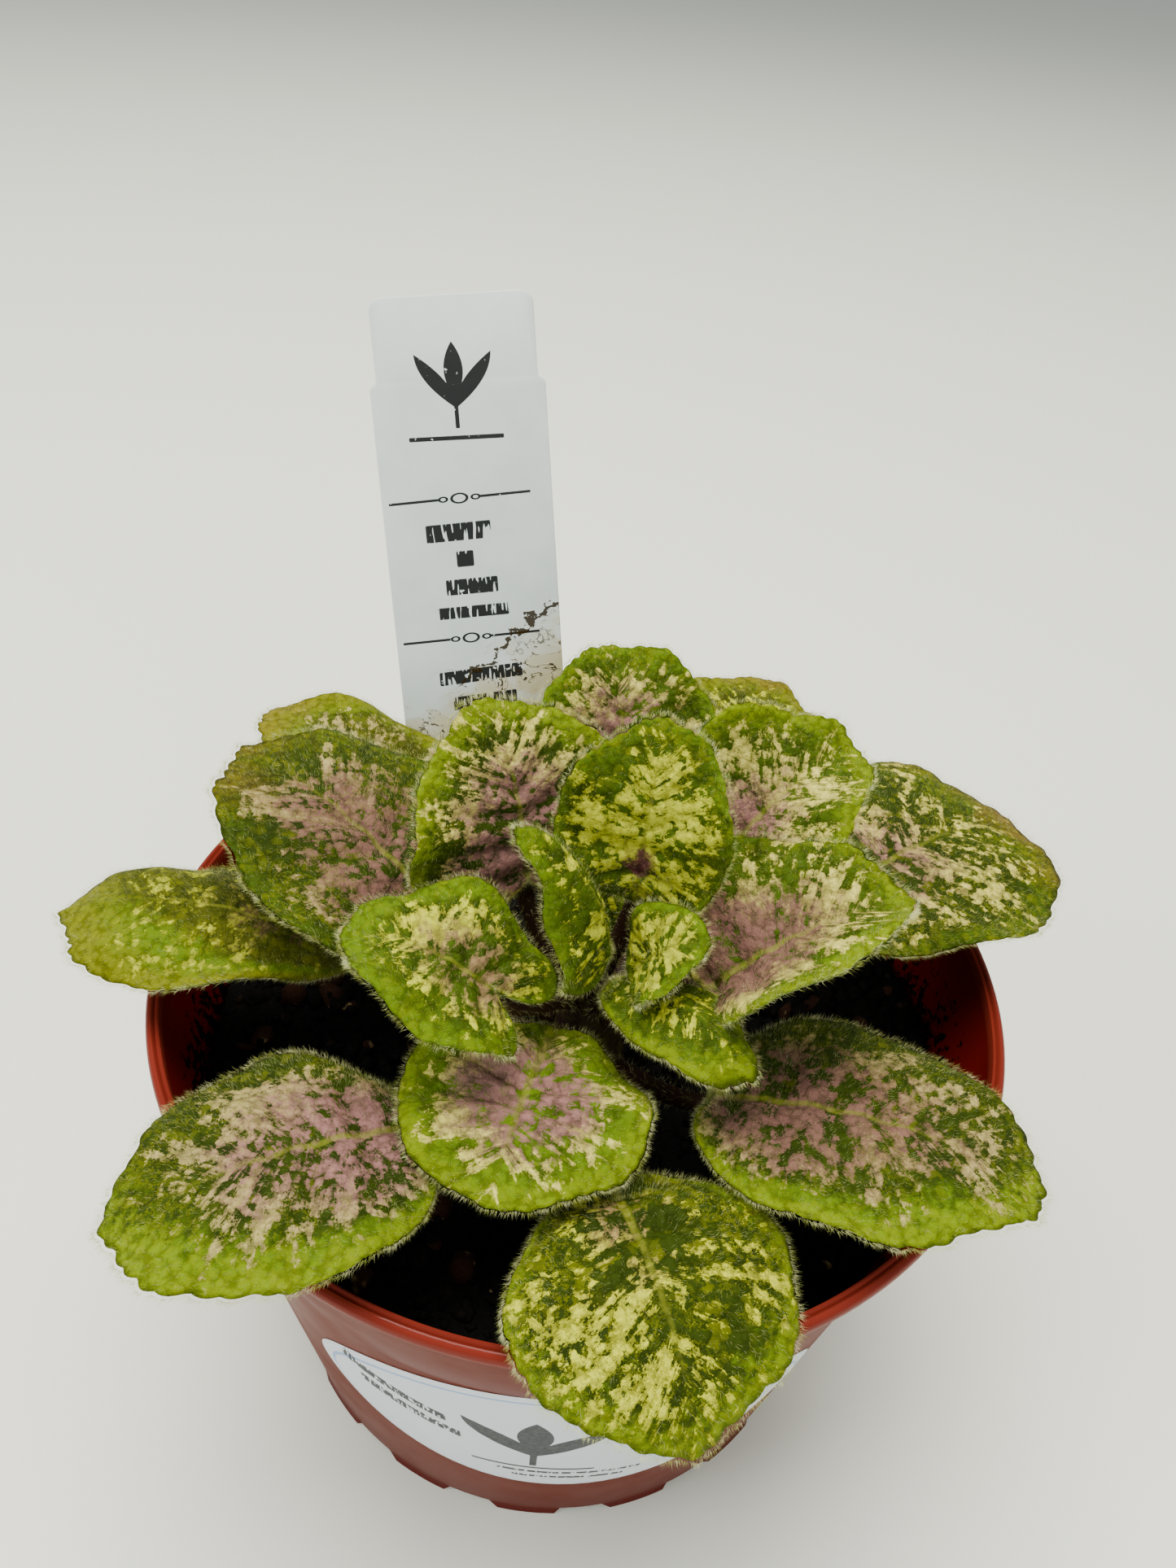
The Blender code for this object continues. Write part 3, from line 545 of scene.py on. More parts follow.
def leafFinish(name, look):
    f = Finish(name + "Blade", 0.62, 0.05)
    vein, across, share = f.parts(f.mark("veinPlace"))
    along, _, under = f.parts(f.mark("leafPlace"))
    place = f.place()
    # streaks run out along the side veins, and each bump between the small veins is one tone
    many, wide = leafGrain["streaks"]
    streak = f.grain(f.vector(vein * many, across * wide, look["seed"]), 1, 5, 0.72, 0.3)
    many, wide = leafGrain["patches"]
    patch = f.grain(f.vector(vein * many, across * wide, look["seed"] + 5), 1, 2, 0.5)
    crumbs = f.grain(place, leafGrain["crumbs"], 5, 0.75)
    crumble = crumbs - 0.5
    jolt = Wire(f, crumbs.socket.node.outputs["Color"])
    bent = f.node("VectorMath", dict(operation="MULTIPLY_ADD"), jolt, (leafGrain["jolt"],) * 3, place)
    cells = f.node("TexVoronoi", None, Vector=bent, Scale=leafGrain["cells"])
    draw = f.parts(Wire(f, cells.socket.node.outputs["Color"]))[0]
    speck = f.grain(place, leafGrain["specks"], 3, 0.65)
    fade = f.step(share, look["reach"] - 0.35, look["reach"] + 0.2, 0, 0.8)
    level = (look["pale"] - 0.58 + (streak - 0.5) * 2.7 + (patch - 0.5) * 1.1 + crumble * 1.6
             + (draw - 0.5) * 0.55 - fade + (along - 0.5) * look["tipward"])
    half = f.step(level, -0.06, 0.02)
    full = f.step(level, 0.08, 0.18)
    # greens, deeper in the middle and lighter at the margin
    rim = f.step(share + across * look["rimSide"] * 0.5 + crumble * 0.6,
                 look["rimStart"] - 0.1, look["rimStart"] + 0.13)
    deepPart = f.step(patch + crumble * 0.8, 0.42, 0.62) * (1 - rim) * 0.6
    margin = f.step(share + crumble * 0.3, look["rimStart"] - 0.1, 0.95)
    green = f.blend(rim, look["inner"], f.blend(margin, greens["fresh"], look["rim"]))
    green = f.blend(deepPart, green, greens["deep"])
    green = f.blend(f.step(draw, 0.5, 0.95) * look["fleck"] * 0.4, green, greens["yellow"])
    # pale tones, dusky by the stalk, creamy further out
    outer = f.step(share + (streak - 0.5) * 0.9 + crumble * 0.9, look["dusk"] - 0.2, look["dusk"] + 0.25)
    paleTone = f.blend(outer, look["near"], look["far"])
    # the specks darken the pale tones towards this dusky tone: painted shade among the hairs
    dusk = f.blend(outer, pales["dusty"], look["inner"])
    paleTone = f.blend(f.step(speck, 0.5, 0.72) * 0.5, paleTone, dusk)
    colour = f.blend(half * 0.55, green, paleTone)
    colour = f.blend(full * 0.8, colour, paleTone)
    # a net of thin pale lines in the greens
    net = f.step(abs(crumble), 0.035, 0.012) * f.step(streak, 0.42, 0.54) * look["fleck"]
    colour = f.blend(net * f.step(share, 0.3, 0.6) * 0.6, colour, greens["yellow"])
    # the midrib and the feet of the side veins show pale
    rib = f.step(abs(across) + along * 0.022, 0.042, 0.016) * f.step(along, 1, 0.2)
    colour = f.blend(rib * 0.62, colour, tone(122, 126, 38))
    if look["spot"]:
        colour = f.blend(f.step(share + crumble * 0.4, 0.22, 0.06) * look["spot"], colour,
                         tone(88, 48, 50))
    if look["blush"]:
        edge = f.step(along + (patch - 0.5) * 0.5, 0.72, 1) * look["blush"] * 0.6
        colour = f.blend(edge, colour, tone(148, 98, 46))
    # the clefts between the bumps are painted dark green: painted shade in the creases between the puffed
    # cells
    colour = f.blend(f.step(cells, 0.42, 0.8) * 0.38, colour, greens["deep"])
    # the underside is a plain pale green
    underTone = f.blend(f.step(speck, 0.3, 0.7), tone(108, 124, 56), tone(88, 106, 40))
    colour = f.blend(f.step(under, 0.4, 0.6), colour, underTone)
    height = speck * 0.4 + crumbs * 0.4 - cells * cells * 1.4
    return f.wear(colour, f.step(crumbs, 0.3, 0.7, 0.5, 0.72), f.bump(height, 0.6, 0.0004))


def stalkFinish():
    f = Finish("leafStalk", 0.55, 0.15)
    streak = f.grain(f.place(), 420)
    along = f.parts(f.mark("leafPlace"))[0]
    colour = f.blend(f.step(streak, 0.35, 0.65), tone(38, 15, 11), tone(44, 30, 14))
    colour = f.blend(f.step(along, 0.62, 0.8), colour, tone(84, 94, 36))
    return f.wear(colour, None, f.bump(streak, 0.4, 0.0002))


stalkMaterial = stalkFinish()
for name, leaf in leaves.items():
    piece("violetLeaf_" + name[-2:], [bladeShell(leaf), stalkShell(leaf)],
          [leafFinish(name, leafColours[name]), stalkMaterial], [name])

print("leaf hairs")
hair = dict(facePerMm=8.4, underPerMm=0.6, edgePerMm=28, stalkPerMm=15, sink=0.08,
            faceLength=0.8, faceVary=(0.55, 1.25), faceThick=0.012, faceLean=(0.5, 1.25),
            faceSwing=0.8, edgeLength=0.8, edgeVary=(0.5, 1.25), edgeThick=0.0095,
            edgeDepth=(0.05, 0.7), edgeLean=(-0.5, 0.9), edgeSpread=0.27, stalkVary=(0.6, 1.2),
            stalkSpread=0.35, areaShare=0.78, rimShare=1.6)


def faceHairs(leaf, underside):
    area = leaf["length"] * leaf["width"] * hair["areaShare"]
    count = int(area * (hair["underPerMm"] if underside else hair["facePerMm"]))
    angle = chance.uniform(-pi, pi, count)
    share = np.sqrt(chance.uniform(0, 1, count)) * 0.99
    normal = bladeNormals(leaf, angle, share)
    root = bentBlade(leaf, angle, share)
    root = root + normal * (veinRelief(leaf, angle, share) - hair["sink"])[:, None]
    if underside:
        root = root - normal * (blade["thick"] - 2 * hair["sink"])
        normal = -normal
    outwards = unit(bentBlade(leaf, angle, np.clip(share, 0.05, 0.98) + 0.02) - root)
    sideways = np.cross(normal, outwards)
    swing = chance.normal(0, hair["faceSwing"], count)[:, None]
    lean = chance.uniform(*hair["faceLean"], count)[:, None]
    aim = unit(normal * np.cos(lean) + np.sin(lean) * (outwards * np.cos(swing)
                                                        + sideways * np.sin(swing)))
    size = min(1, 0.6 + leaf["width"] / 60)
    return root, aim, chance.uniform(*hair["faceVary"], count) * hair["faceLength"] * size


def edgeHairs(leaf):
    count = int((leaf["length"] + leaf["width"]) * hair["rimShare"] * hair["edgePerMm"])
    angle = chance.uniform(-pi, pi, count)
    share = np.ones(count)
    normal = bladeNormals(leaf, angle, share)
    depth = chance.uniform(*hair["edgeDepth"], count)[:, None]
    root = bentBlade(leaf, angle, share) - normal * depth
    outwards = unit(root - bentBlade(leaf, angle, share * 0.93) + normal * 0.4)
    spread = chance.normal(0, hair["edgeSpread"], (count, 3))
    aim = unit(outwards + normal * chance.uniform(*hair["edgeLean"], count)[:, None] + spread)
    root = root - outwards * hair["sink"]
    return root, aim, chance.uniform(*hair["edgeVary"], count) * hair["edgeLength"]


def stalkHairs(leaf):
    line, radii = stalkLine(leaf)
    side, over = tubeFrame(line)
    span = np.linalg.norm(np.diff(line[:stalks["steps"] + 1], axis=0), axis=1).sum()
    count = int(span * hair["stalkPerMm"])
    k = chance.integers(1, stalks["steps"], count)
    between = chance.uniform(0, 1, count)[:, None]
    middle = line[k] * (1 - between) + line[k + 1] * between
    turn = chance.uniform(0, 2 * pi, count)[:, None]
    normal = side[k] * np.cos(turn) + over[k] * np.sin(turn)
    aim = unit(normal + chance.normal(0, hair["stalkSpread"], (count, 3)))
    root = middle + normal * (radii[k] * 0.9)[:, None]
    return root, aim, chance.uniform(*hair["stalkVary"], count)


def hairPiece(name, sets, thick, material):
    root, aim, length = (np.concatenate(column) for column in zip(*sets))
    form = bmesh.new()
    bmesh.ops.create_cone(form, cap_ends=True, segments=3, radius1=1.0, radius2=0.0, depth=1.0)
    bmesh.ops.remove_doubles(form, verts=form.verts, dist=0.01)
    mesh, spot, index = copies(form, len(root))
    across = unit(np.cross(aim, chance.normal(0, 1, aim.shape)))
    over = np.cross(aim, across)
    points = root[index] + thick * (across[index] * spot[:, :1] + over[index] * spot[:, 1:2])
    points = points + (spot[:, 2:3] + 0.5) * length[index][:, None] * aim[index]
    movePoints(mesh, points)
    return piece(name, [mesh], [material], merge=0)


def hairFinish(name, light, dark):
    f = Finish(name, 0.5, 0.15)
    shade = f.grain(f.place(), 900, 2, 0.5)
    return f.wear(f.blend(f.step(shade, 0.35, 0.65), tone(*light), tone(*dark)))


faceHairFinish = hairFinish("faceHair", (196, 196, 132), (130, 138, 60))
# the margin hairs are pale, and are coloured lighter than the face hairs: a painted backlit halo along the
# leaf edges
edgeHairFinish = hairFinish("edgeHair", (236, 238, 172), (184, 194, 88))
batches = dict(back=(2, 3, 4, 6, 7, 8, 9), middle=(1, 5, 10, 11, 12, 13, 14, 15, 19, 20),
               front=(16, 17, 18))
for group, numbers in batches.items():
    batch = [leaves[f"leaf_{number:02d}"] for number in numbers]
    faces = [faceHairs(leaf, under) for leaf in batch for under in (False, True)]
    edges = [edgeHairs(leaf) for leaf in batch] + [stalkHairs(leaf) for leaf in batch]
    made = hairPiece("leafHairs_" + group, faces, hair["faceThick"], faceHairFinish)
    edged = hairPiece("edgeHairs_" + group, edges, hair["edgeThick"], edgeHairFinish)
    print(group, len(made.data.polygons), len(edged.data.polygons))

print("crown")


def crownShape(u, v):
    turn = u * 2 * pi
    low, high = crown["span"]
    height = np.clip(v * (high - low) + low, crown["rootHeights"][0], crown["tip"])
    radius = np.interp(height, (*crown["rootHeights"], *crown["heights"], crown["tip"]),
                       (*crown["rootRadii"], *crown["radii"], 0))
    radius = np.where((v < 1e-6) | (v > 1 - 1e-6), 0, radius)
    radius = radius * (1 + 0.06 * np.sin(5 * turn + height * 0.9) * np.cos(height * 1.3))
    spot = np.stack((crown["spot"][0] + radius * np.cos(turn),
                     crown["spot"][1] + radius * np.sin(turn), height + potTop), 1)
    return spot, {}


def crownFinish():
    f = Finish("crownStem", 0.65, 0.15)
    rough = f.grain(f.place(), 500, 4, 0.65)
    colour = f.blend(f.step(rough, 0.35, 0.65), tone(30, 15, 9), tone(50, 44, 16))
    return f.wear(colour, None, f.bump(rough, 0.7, 0.0005))


piece("crownStem", [woven(28, 40, crownShape)], [crownFinish()], ["crown_stem"])

print("pot")
pot = dict(height=potTop, rim=51, collarFoot=46.8, collarLow=51, collarStep=0.5, base=38, wall=1.1,
           floor=1.3, floorMiddle=20, feet=16, footWidth=7.5, footHeight=1.5, footRing=4,
           footSplay=0.6, notchStart=0.2, drains=8, drainRadius=3, drainDepth=8, drainCircle=28,
           turns=192)
collarLine = (  # the collar and its rolled lip in section, in from the rim and down from the top
    (2.5, 9), (0.75, 2.1), (0.65, 1.8), (0.25, 1.65), (0.05, 1.4), (0, 1), (0.05, 0.6),
    (0.2, 0.3), (0.45, 0.1), (0.7, 0.05), (0.88, 0.2), (1, 0.4), (1.12, 0.2), (1.3, 0.05),
    (1.5, 0.15), (1.65, 0.5), (1.8, 1.4), (1.9, 2.6), (3.4, 9), (5.3, 14))


def bodyRadius(height):
    share = height / pot["collarLow"]
    return pot["base"] + (pot["collarFoot"] - pot["collarStep"] - pot["base"]) * share


def makePot():
    low, base, wall, floorTop = pot["collarLow"], pot["base"], pot["wall"], pot["floor"]
    inside = base - pot["footRing"]
    outline = [(0, 0), (pot["floorMiddle"], 0), (inside - 0.5, 0), (base - 0.5, 0), (base - 0.2, 0.15)]
    outline += [(bodyRadius(z), z) for z in (1.45, 1.6, 2.2, low - 8, low - 0.4)]
    outline += [(bodyRadius(low) + 0.1, low - 0.1), (pot["collarFoot"] - 0.15, low),
                (pot["collarFoot"], low + 0.3)]
    outline += [(pot["rim"] - inward, pot["height"] - down) for inward, down in collarLine]
    outline += [(bodyRadius(z) - wall, z) for z in (low - 1, 20, floorTop + 0.6)]
    outline += [(bodyRadius(floorTop) - wall - 0.8, floorTop), (pot["floorMiddle"], floorTop),
                (0, floorTop)]
    form = bmesh.new()
    line = [form.verts.new((r * mm, 0, z * mm)) for r, z in outline]
    edges = [form.edges.new(pair) for pair in zip(line, line[1:])]
    bmesh.ops.spin(form, geom=line + edges, cent=(0, 0, 0), axis=(0, 0, 1), angle=2 * pi,
                   steps=pot["turns"], use_merge=True)
    bmesh.ops.remove_doubles(form, verts=form.verts, dist=0.001 * mm)
    bmesh.ops.recalc_face_normals(form, faces=form.faces)
    gap = 2 * pi / pot["feet"]
    halfFoot = pot["footWidth"] / base / 2
    slope = (pot["footHeight"] - pot["notchStart"]) / pot["footRing"]
    for vert in form.verts:  # the base's outer ring has feet that splay, and notches between them
        x, y, z = vert.co / mm
        radius = (x * x + y * y) ** 0.5
        if z > floorTop / 2 or radius < inside:
            continue
        turn = (atan2(y, x) + pi / 2) % gap
        if halfFoot < turn < gap - halfFoot:
            vert.co.z = (pot["notchStart"] + slope * (radius - inside)) * mm
        else:
            vert.co.xy = vert.co.xy * (1 + pot["footSplay"] / radius)
    return form


def drilled(form, cutterForm):
    body = linked("body", meshOf(form, "shell"))
    cutter = linked("cutter", meshOf(cutterForm, "block"))
    cut = body.modifiers.new("cut", "BOOLEAN")
    cut.solver = "EXACT"
    cut.object = cutter
    bpy.context.view_layer.update()
    mesh = bpy.data.meshes.new_from_object(body.evaluated_get(bpy.context.evaluated_depsgraph_get()))
    for thing in (body, cutter):
        bpy.data.objects.remove(thing, do_unlink=True)
    return mesh


def drains():
    form = bmesh.new()
    radius = pot["drainRadius"] * mm
    for k in range(pot["drains"]):
        turn = -pi / 2 + (k + 0.5) * 2 * pi / pot["drains"]
        spot = Matrix.Translation(Vector((cos(turn), sin(turn), 0)) * pot["drainCircle"] * mm)
        bmesh.ops.create_cone(form, cap_ends=True, segments=28, radius1=radius, radius2=radius,
                              depth=pot["drainDepth"] * mm, matrix=spot)
    return form


def potFinish():
    f = Finish("terracottaPlastic", 0.42, 0.02)
    place = f.place()
    x, y, z = f.parts(place)
    radius = (x * x + y * y) ** 0.5
    cloud = f.grain(place, 60, 3, 0.55)
    dust = f.grain(place, 700, 4, 0.7)
    low, top, foot, floorTop = (pot[key] * mm for key in ("collarLow", "height", "footHeight", "floor"))
    # the wall's outer radius at each height, which tells its two faces apart
    skin = 0.038 + z * 0.163 + f.step(z, low - 0.0001, low + 0.0001) * (z * 0.098 - 0.0045)
    inside = f.step(skin - radius, 0.0004, 0.0007) * f.step(z, top - 0.001, top - 0.0016)
    inside = inside * f.step(z, floorTop - 0.0005, floorTop - 0.0003)
    colour = f.blend(cloud, tone(104, 46, 34), tone(92, 39, 29))
    lipShare = f.step(z, top - 0.0018, top - 0.0013)
    colour = f.blend(lipShare, colour, tone(110, 36, 25))
    # the lowest 1.5 mm of the wall is a darker red: painted shade at the feet, where the pot meets the
    # floor
    colour = f.blend(f.step(z, foot, foot - 0.0003), colour, tone(88, 26, 18))
    colour = f.blend(inside, colour, tone(104, 16, 10))
    dirt = f.step(dust + f.step(z, top - 0.003, top - 0.015, 0, 0.25)
                  - f.step(inside, 0, 1, 0.3, 0), 0.66, 0.72) * inside
    colour = f.blend(dirt, colour, tone(18, 9, 3))
    streak = f.grain(f.vector(x * 400, y * 400, z * 30), 1, 2, 0.5)
    return f.wear(colour, f.step(cloud + dirt, 0.3, 0.9, 0.34, 0.6),
                  f.bump(streak * 0.4 + dust * 0.3, 0.12, 0.0003), lipShare * 0.18 + 0.04)


piece("nurseryPot", [drilled(makePot(), drains())], [potFinish()], ["pot"], smooth=38, merge=0)

print("soil")
soil = dict(top=55, edge=44.9, foot=37.2, bottom=1.7, lumps=0.35, crumbs=0.3, topShare=0.86,
            sideShare=0.07, clear=1.2, rough=0.35, raised=0.25)


def soilHeight(x, y):
    lumps = (np.sin(x / 6.1) * np.cos(y / 5.3 + 0.7) + 0.6 * np.sin(x / 3.7 + 1.9) * np.sin(y / 4.1))
    crumbs = (np.sin(x * 2.1 + 1.3 * np.sin(y * 1.7)) * np.sin(y * 2.3 + 1.1 * np.sin(x * 1.9))
              + 0.6 * np.sin(x * 4.3 + y * 1.2) * np.sin(y * 4.7 - x * 0.8))
    return soil["top"] + soil["lumps"] * lumps + soil["crumbs"] * crumbs


def soilShape(u, v):
    turn = u * 2 * pi
    surface = v <= soil["topShare"]
    share = np.clip(v / soil["topShare"], 0, 1)
    down = np.clip((v - soil["topShare"]) / soil["sideShare"], 0, 1)
    under = np.clip((v - soil["topShare"] - soil["sideShare"]) / soil["sideShare"], 0, 1)
    radius = np.where(surface, share * soil["edge"],
                      (soil["edge"] + (soil["foot"] - soil["edge"]) * down) * (1 - under))
    x = radius * np.cos(turn)
    y = radius * np.sin(turn)
    height = np.where(surface, soilHeight(x, y), soil["top"] + (soil["bottom"] - soil["top"]) * down)
    return np.stack((x, y, height), 1), {}


def grainMesh(count, low, high, stretch):
    form = bmesh.new()
    bmesh.ops.create_icosphere(form, subdivisions=1, radius=1.0)
    mesh, spot, index = copies(form, count)
    radius = np.sqrt(chance.uniform(0.02, 1, count)) * (soil["edge"] - soil["clear"])
    turn = chance.uniform(0, 2 * pi, count)
    x = radius * np.cos(turn)
    y = radius * np.sin(turn)
    size = chance.uniform(low, high, count)
    squeeze = 1 + stretch * chance.uniform(-0.5, 1, (count, 3))
    rough = spot * (1 + soil["rough"] * chance.uniform(-1, 1, (len(spot), 1)))
    axis = unit(chance.normal(0, 1, (count, 3)))[index]
    lean = chance.uniform(0, pi, count)[index][:, None]
    local = rough * squeeze[index]
    local = (local * np.cos(lean) + np.cross(axis, local) * np.sin(lean)
             + axis * (axis * local).sum(1)[:, None] * (1 - np.cos(lean)))
    centre = np.stack((x, y, soilHeight(x, y) + size * soil["raised"]), 1)
    points = centre[index] + local * size[index][:, None]
    movePoints(mesh, points)
    return mesh


def soilFinish(name, dark, light, share):
    f = Finish(name, 0.85, 0.12)
    place = f.place()
    crumb = f.grain(place, 1300, 4, 0.7)
    patch = f.grain(place, 380, 2, 0.6)
    colour = f.blend(f.step(patch, share, share + 0.1), tone(*dark), tone(*light))
    return f.wear(colour, f.step(crumb, 0.3, 0.7, 0.7, 0.95), f.bump(crumb, 0.9, 0.0006))


piece("pottingSoil", [woven(180, 100, soilShape), grainMesh(count=2600, low=0.25, high=0.95, stretch=0.6),
                      grainMesh(count=90, low=0.5, high=1.3, stretch=1.0)],
      [soilFinish("peat", (9, 7, 6), (22, 16, 11), 0.6),
       soilFinish("peatCrumbs", (13, 10, 8), (44, 32, 22), 0.64),
       soilFinish("barkBits", (52, 30, 18), (150, 126, 90), 0.58)], ["potting_soil"],
      merge=0.0001)

print("plant label")
tag = dict(width=22, thick=0.7, foot=(-12.8, 21.5, 55), leanLeft=8.3, leanBack=18.6, above=79.2,
           inSoil=34, headHeight=9.6, headInset=0.9, corner=1.6, taper=20, point=4, bevel=0.14,
           shoulder=((0, 1.2), (0.15, 0.7), (0.8, 0.3)))  # in from the side, down from the head


tagPrint = dict(  # boxes are left, right, low and high in mm, rules are height and tilt
    rules=((55.1, 0.05), (37, 0.06)), ruleMiddle=-0.9, ruleHalf=9,
    words=((-5.6, 2.8, 49.8, 52), (-1.9, 0.3, 46.4, 48.4), (-3.6, 3.2, 42.8, 44.8), (-5, 4.4, 39.7, 41.2)),
    script=((-5.6, 5.6, 31, 32.8), (-4, 4.6, 27.4, 29.2)), headLine=(-6.6, 5.4, 62.2, 62.7),
    sprigAt=(-0.3, 68.6), dirtTop=14)


def boxMask(f, x, z, left, right, low, high, soft=0.12):
    return (f.step(x, left - soft, left + soft) * f.step(x, right + soft, right - soft)
            * f.step(z, low - soft, low + soft) * f.step(z, high + soft, high - soft))


def boxes(f, x, z, rows, soft=0.2):
    return sum(boxMask(f, x, z, *row, soft) for row in rows)


def sprig(f, x, z, size):  # three pointed leaves on a stem, as a plain printed mark
    ink = boxMask(f, x, z, -0.25 * size, 0.25 * size, -5 * size, 0)
    for side, lift, lean in ((-2.3, 0.6, 0.75), (2.3, 0.6, -0.75), (0, 1.9, 0)):
        tall = (z - lift * size) / (3.4 * size)
        wide = (x - side * size + (z - lift * size) * lean) / (1.25 * size)
        ink = ink + f.step(tall * tall + abs(wide), 1, 0.9)
    return ink


def tagFinish():
    f = Finish("tagPlastic", 0.42, 0.12)
    x, depth, z = f.parts(f.mark("tagPlace"))
    place = f.place()
    cloud = f.grain(place, 90)
    speck = f.grain(place, 1400, 2, 0.5)
    fine = f.grain(place, 420)
    colour = f.blend(f.step(cloud, 0.3, 0.7), tone(225, 235, 229), tone(214, 225, 218))
    look = tagPrint
    end = look["ruleHalf"]
    aside = abs(x - look["ruleMiddle"])
    ink = boxMask(f, x, z, *look["headLine"])
    for height, tilt in look["rules"]:  # two rules with a small scroll in the middle
        level = z - height - x * tilt
        rule = f.step(abs(level), 0.22, 0.1) * f.step(aside, end + 0.3, end)
        rule = rule * f.step(aside, 2.6, 2.9)
        ring = (aside * aside + level * level * 3) ** 0.5
        scroll = f.step(abs(ring - 1), 0.24, 0.12)
        side = ((aside - 2.1) ** 2 + level * level * 3) ** 0.5
        ink = ink + rule + scroll + f.step(abs(side - 0.5), 0.22, 0.1)
    # broken bars stand where such a label carries its words
    strokes = f.step(f.grain(f.vector(x * 2.1, z * 0.25, 7), 1, 1), 0.4, 0.44)
    ink = ink + boxes(f, x, z - x * 0.05, look["words"]) * strokes
    ink = ink + boxes(f, x, z - x * 0.1, look["script"]) * strokes * f.step(speck, 0.3, 0.36)
    left, low = look["sprigAt"]
    ink = ink + sprig(f, x - left, z - low, 1)
    onFront = f.step(depth, -0.2, -0.3)
    ink = f.step(ink, 0.2, 0.6) * onFront * f.step(speck, 0.24, 0.32)
    stainAt = f.grain(f.vector(x * 0.16, z * 0.22, 3), 1, 4, 0.65, 0.6)
    lowDown = f.step(z - x * 0.6, 42, 24)
    stain = f.step(stainAt * 0.8 + lowDown * 0.3, 0.5, 0.72) * lowDown
    colour = f.blend(stain * 0.75, colour, tone(196, 176, 106))
    colour = f.blend(ink * 0.97, colour, tone(6, 6, 8))
    dirt = f.step(z + fine * 5, look["dirtTop"], look["dirtTop"] - 5)
    colour = f.blend(dirt, colour, tone(52, 42, 26))
    crust = f.step(abs(stainAt - 0.55), 0.012, 0.004) * f.step(fine, 0.42, 0.5) * lowDown
    smear = abs(z - x * 0.75 - 33 - (fine - 0.5) * 6 - (stainAt - 0.5) * 5)
    crust = crust + f.step(smear, 0.52, 0.3) * f.step(speck, 0.32, 0.4) * f.step(x, -4, -2)
    crust = crust + f.step(speck, 0.74, 0.78) * lowDown
    colour = f.blend(f.step(crust, 0.1, 0.9) * 0.95, colour, tone(48, 34, 0))
    return f.wear(colour, f.step(stain + cloud * 0.3, 0, 1.2, 0.32, 0.7),
                  f.bump(crust + speck * 0.1, 0.25, 0.0003))


def makeTag():
    half = tag["width"] / 2
    head = half - tag["headInset"]
    top = tag["above"]
    shoulder = top - tag["headHeight"]
    taper = tag["taper"] - tag["inSoil"]
    point = tag["point"] / 2
    radius = tag["corner"]
    right = [(point, -tag["inSoil"]), (half, taper)]
    right += [(half - inward, shoulder - down) for inward, down in tag["shoulder"]]
    right += [(head, shoulder)]
    for turn in range(90, -1, -15):
        right.append((head - radius + radius * sin(radians(turn)),
                      top - radius + radius * cos(radians(turn))))
    form = bmesh.new()
    outline = right + [(-x, z) for x, z in reversed(right)]
    face = form.faces.new([form.verts.new((x, -tag["thick"] / 2, z)) for x, z in outline])
    back = bmesh.ops.extrude_face_region(form, geom=[face])
    moved = [part for part in back["geom"] if isinstance(part, bmesh.types.BMVert)]
    bmesh.ops.translate(form, verts=moved, vec=(0, tag["thick"], 0))
    bmesh.ops.recalc_face_normals(form, faces=form.faces)
    rims = [edge for edge in form.edges if abs(edge.verts[0].co.y - edge.verts[1].co.y) < 0.01]
    bmesh.ops.bevel(form, geom=rims, offset=tag["bevel"], segments=2, profile=0.5,
                    affect="EDGES", material=-1)
    bmesh.ops.triangulate(form, faces=[face for face in form.faces if len(face.verts) > 4])
    mesh = meshOf(form, "tag")
    markPoints(mesh, "tagPlace", pointsOf(mesh))
    lean = (Matrix.Rotation(radians(-tag["leanBack"]), 4, "X")
            @ Matrix.Rotation(radians(-tag["leanLeft"]), 4, "Y"))
    mesh.transform(Matrix.Scale(mm, 4) @ Matrix.Translation(tag["foot"]) @ lean)
    return mesh


piece("stakeLabel", [makeTag()], [tagFinish()], ["plant_tag"], smooth=50, merge=0)

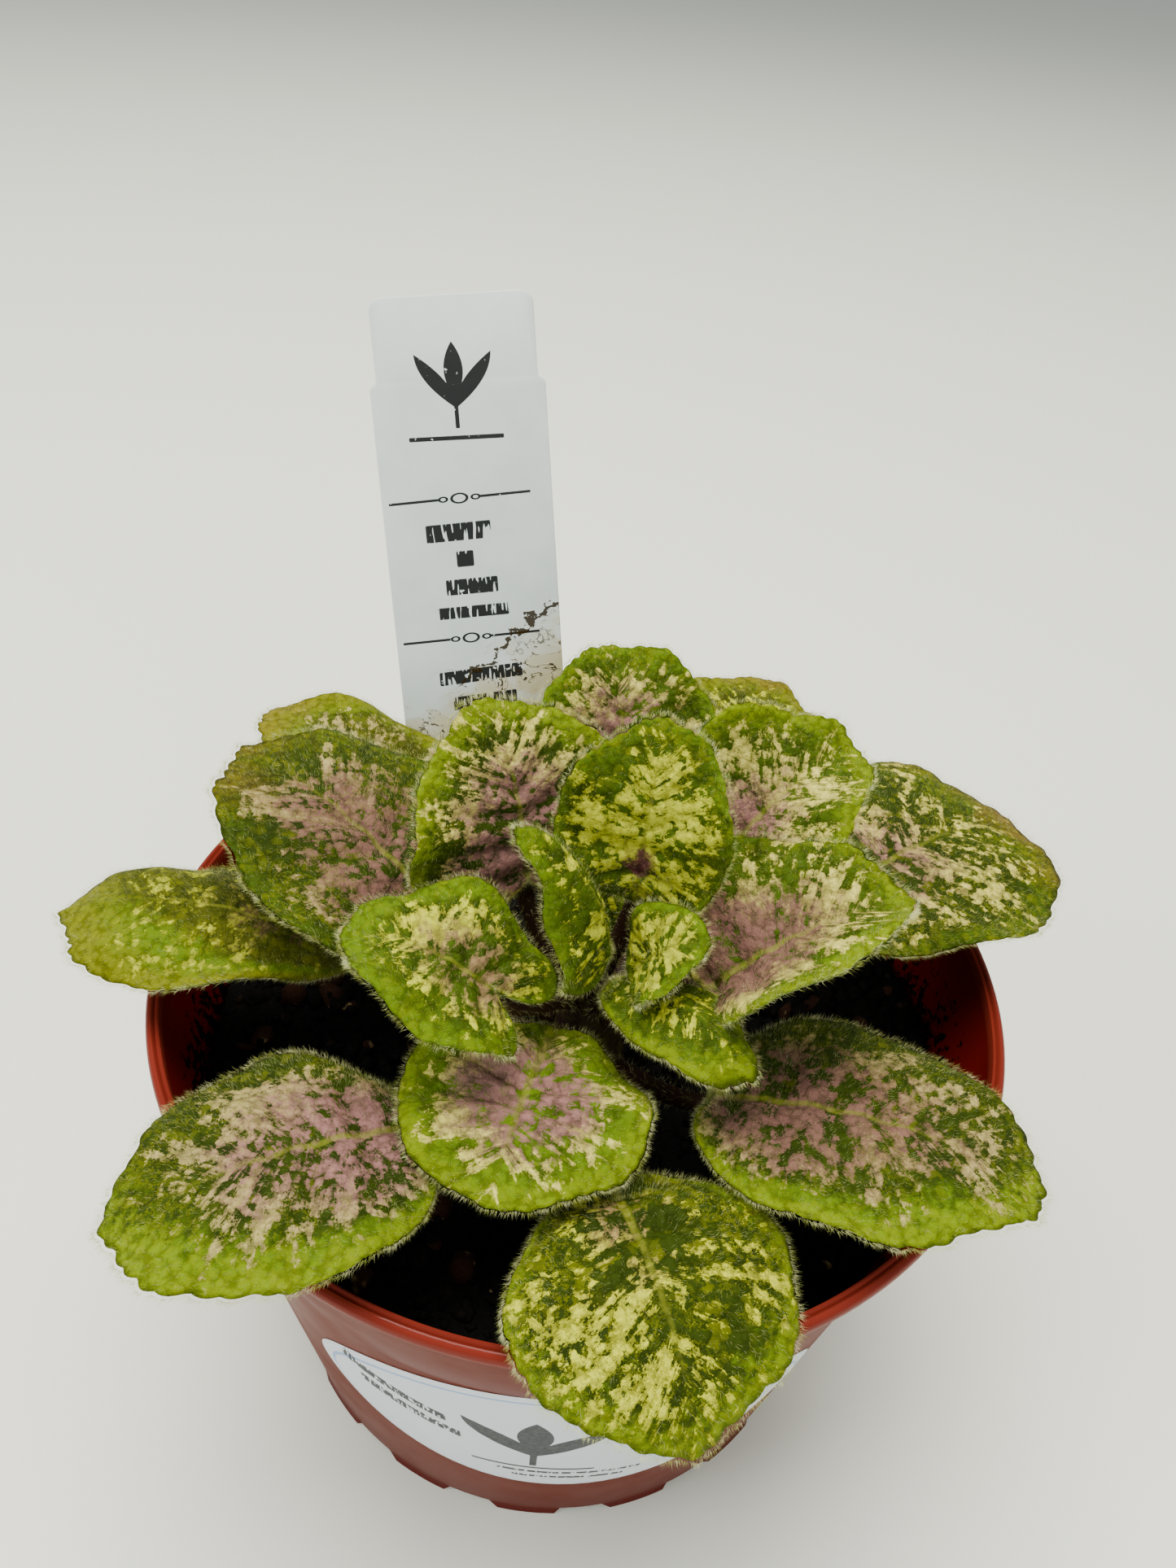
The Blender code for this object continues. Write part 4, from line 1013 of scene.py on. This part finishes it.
print("paper sticker")
sticker = dict(width=62, height=35, middle=32.5, azimuth=-85, thick=0.18, lift=0.12,
               back=-0.06, faceShare=0.8)
stickerPrint = dict(  # the edge line's place is a share of the way out
    edgeLine=0.93, sprigAt=(-3.5, 0.4), sprigSize=1.7, underline=(-11, 4, -9.3, -8.7),
    bars=((-26, -13.5, 4.4, 6.6), (-24, -12, 0.4, 2.6)), barSlope=0.4, barMiddle=-18,
    lowBars=((-8, 10, -11.2, -10.4), (-6, 8, -13.2, -12.4)))


def stickerShape(u, v):
    turn = u * 2 * pi
    faceShare = sticker["faceShare"]
    under = v > faceShare
    share = np.where(under, (1 - v) / (1 - faceShare), np.clip(v / faceShare, 0, 1))
    x = share * sticker["width"] / 2 * np.cos(turn)
    z = share * sticker["height"] / 2 * np.sin(turn)
    height = sticker["middle"] + z
    radius = bodyRadius(height) + sticker["lift"] + np.where(under, sticker["back"], sticker["thick"])
    azimuth = radians(sticker["azimuth"]) + x / bodyRadius(sticker["middle"])
    points = np.stack((radius * np.cos(azimuth), radius * np.sin(azimuth), height), 1)
    return points, {"labelPlace": np.stack((x, share, z), 1)}


def stickerFinish():
    f = Finish("stickerPaper", 0.5, 0.1)
    x, share, z = f.parts(f.mark("labelPlace"))
    place = f.place()
    fibre = f.grain(place, 1800)
    cloud = f.grain(place, 80, 2, 0.5)
    colour = f.blend(cloud, tone(214, 220, 226), tone(200, 208, 215))
    look = stickerPrint
    line = f.step(abs(share - look["edgeLine"]), 0.012, 0.005)
    colour = f.blend(line * 0.8, colour, tone(127, 157, 205))
    left, low = look["sprigAt"]
    ink = sprig(f, x - left, z - low, look["sprigSize"]) + boxMask(f, x, z, *look["underline"])
    strokes = f.step(f.grain(f.vector(x * 2.6, z * 0.5, 1), 1, 1), 0.42, 0.46)
    slope = z + (x - look["barMiddle"]) * look["barSlope"]
    ink = ink + (boxes(f, x, slope, look["bars"]) + boxes(f, x, z, look["lowBars"], 0.15)) * strokes
    colour = f.blend(f.step(ink, 0.2, 0.8) * 0.92, colour, tone(16, 17, 22))
    return f.wear(colour, f.step(fibre, 0.3, 0.7, 0.42, 0.6), f.bump(fibre, 0.15, 0.0002))


piece("ovalSticker", [woven(96, 15, stickerShape)], [stickerFinish()], ["pot_sticker"],
      smooth=60)

print("done")
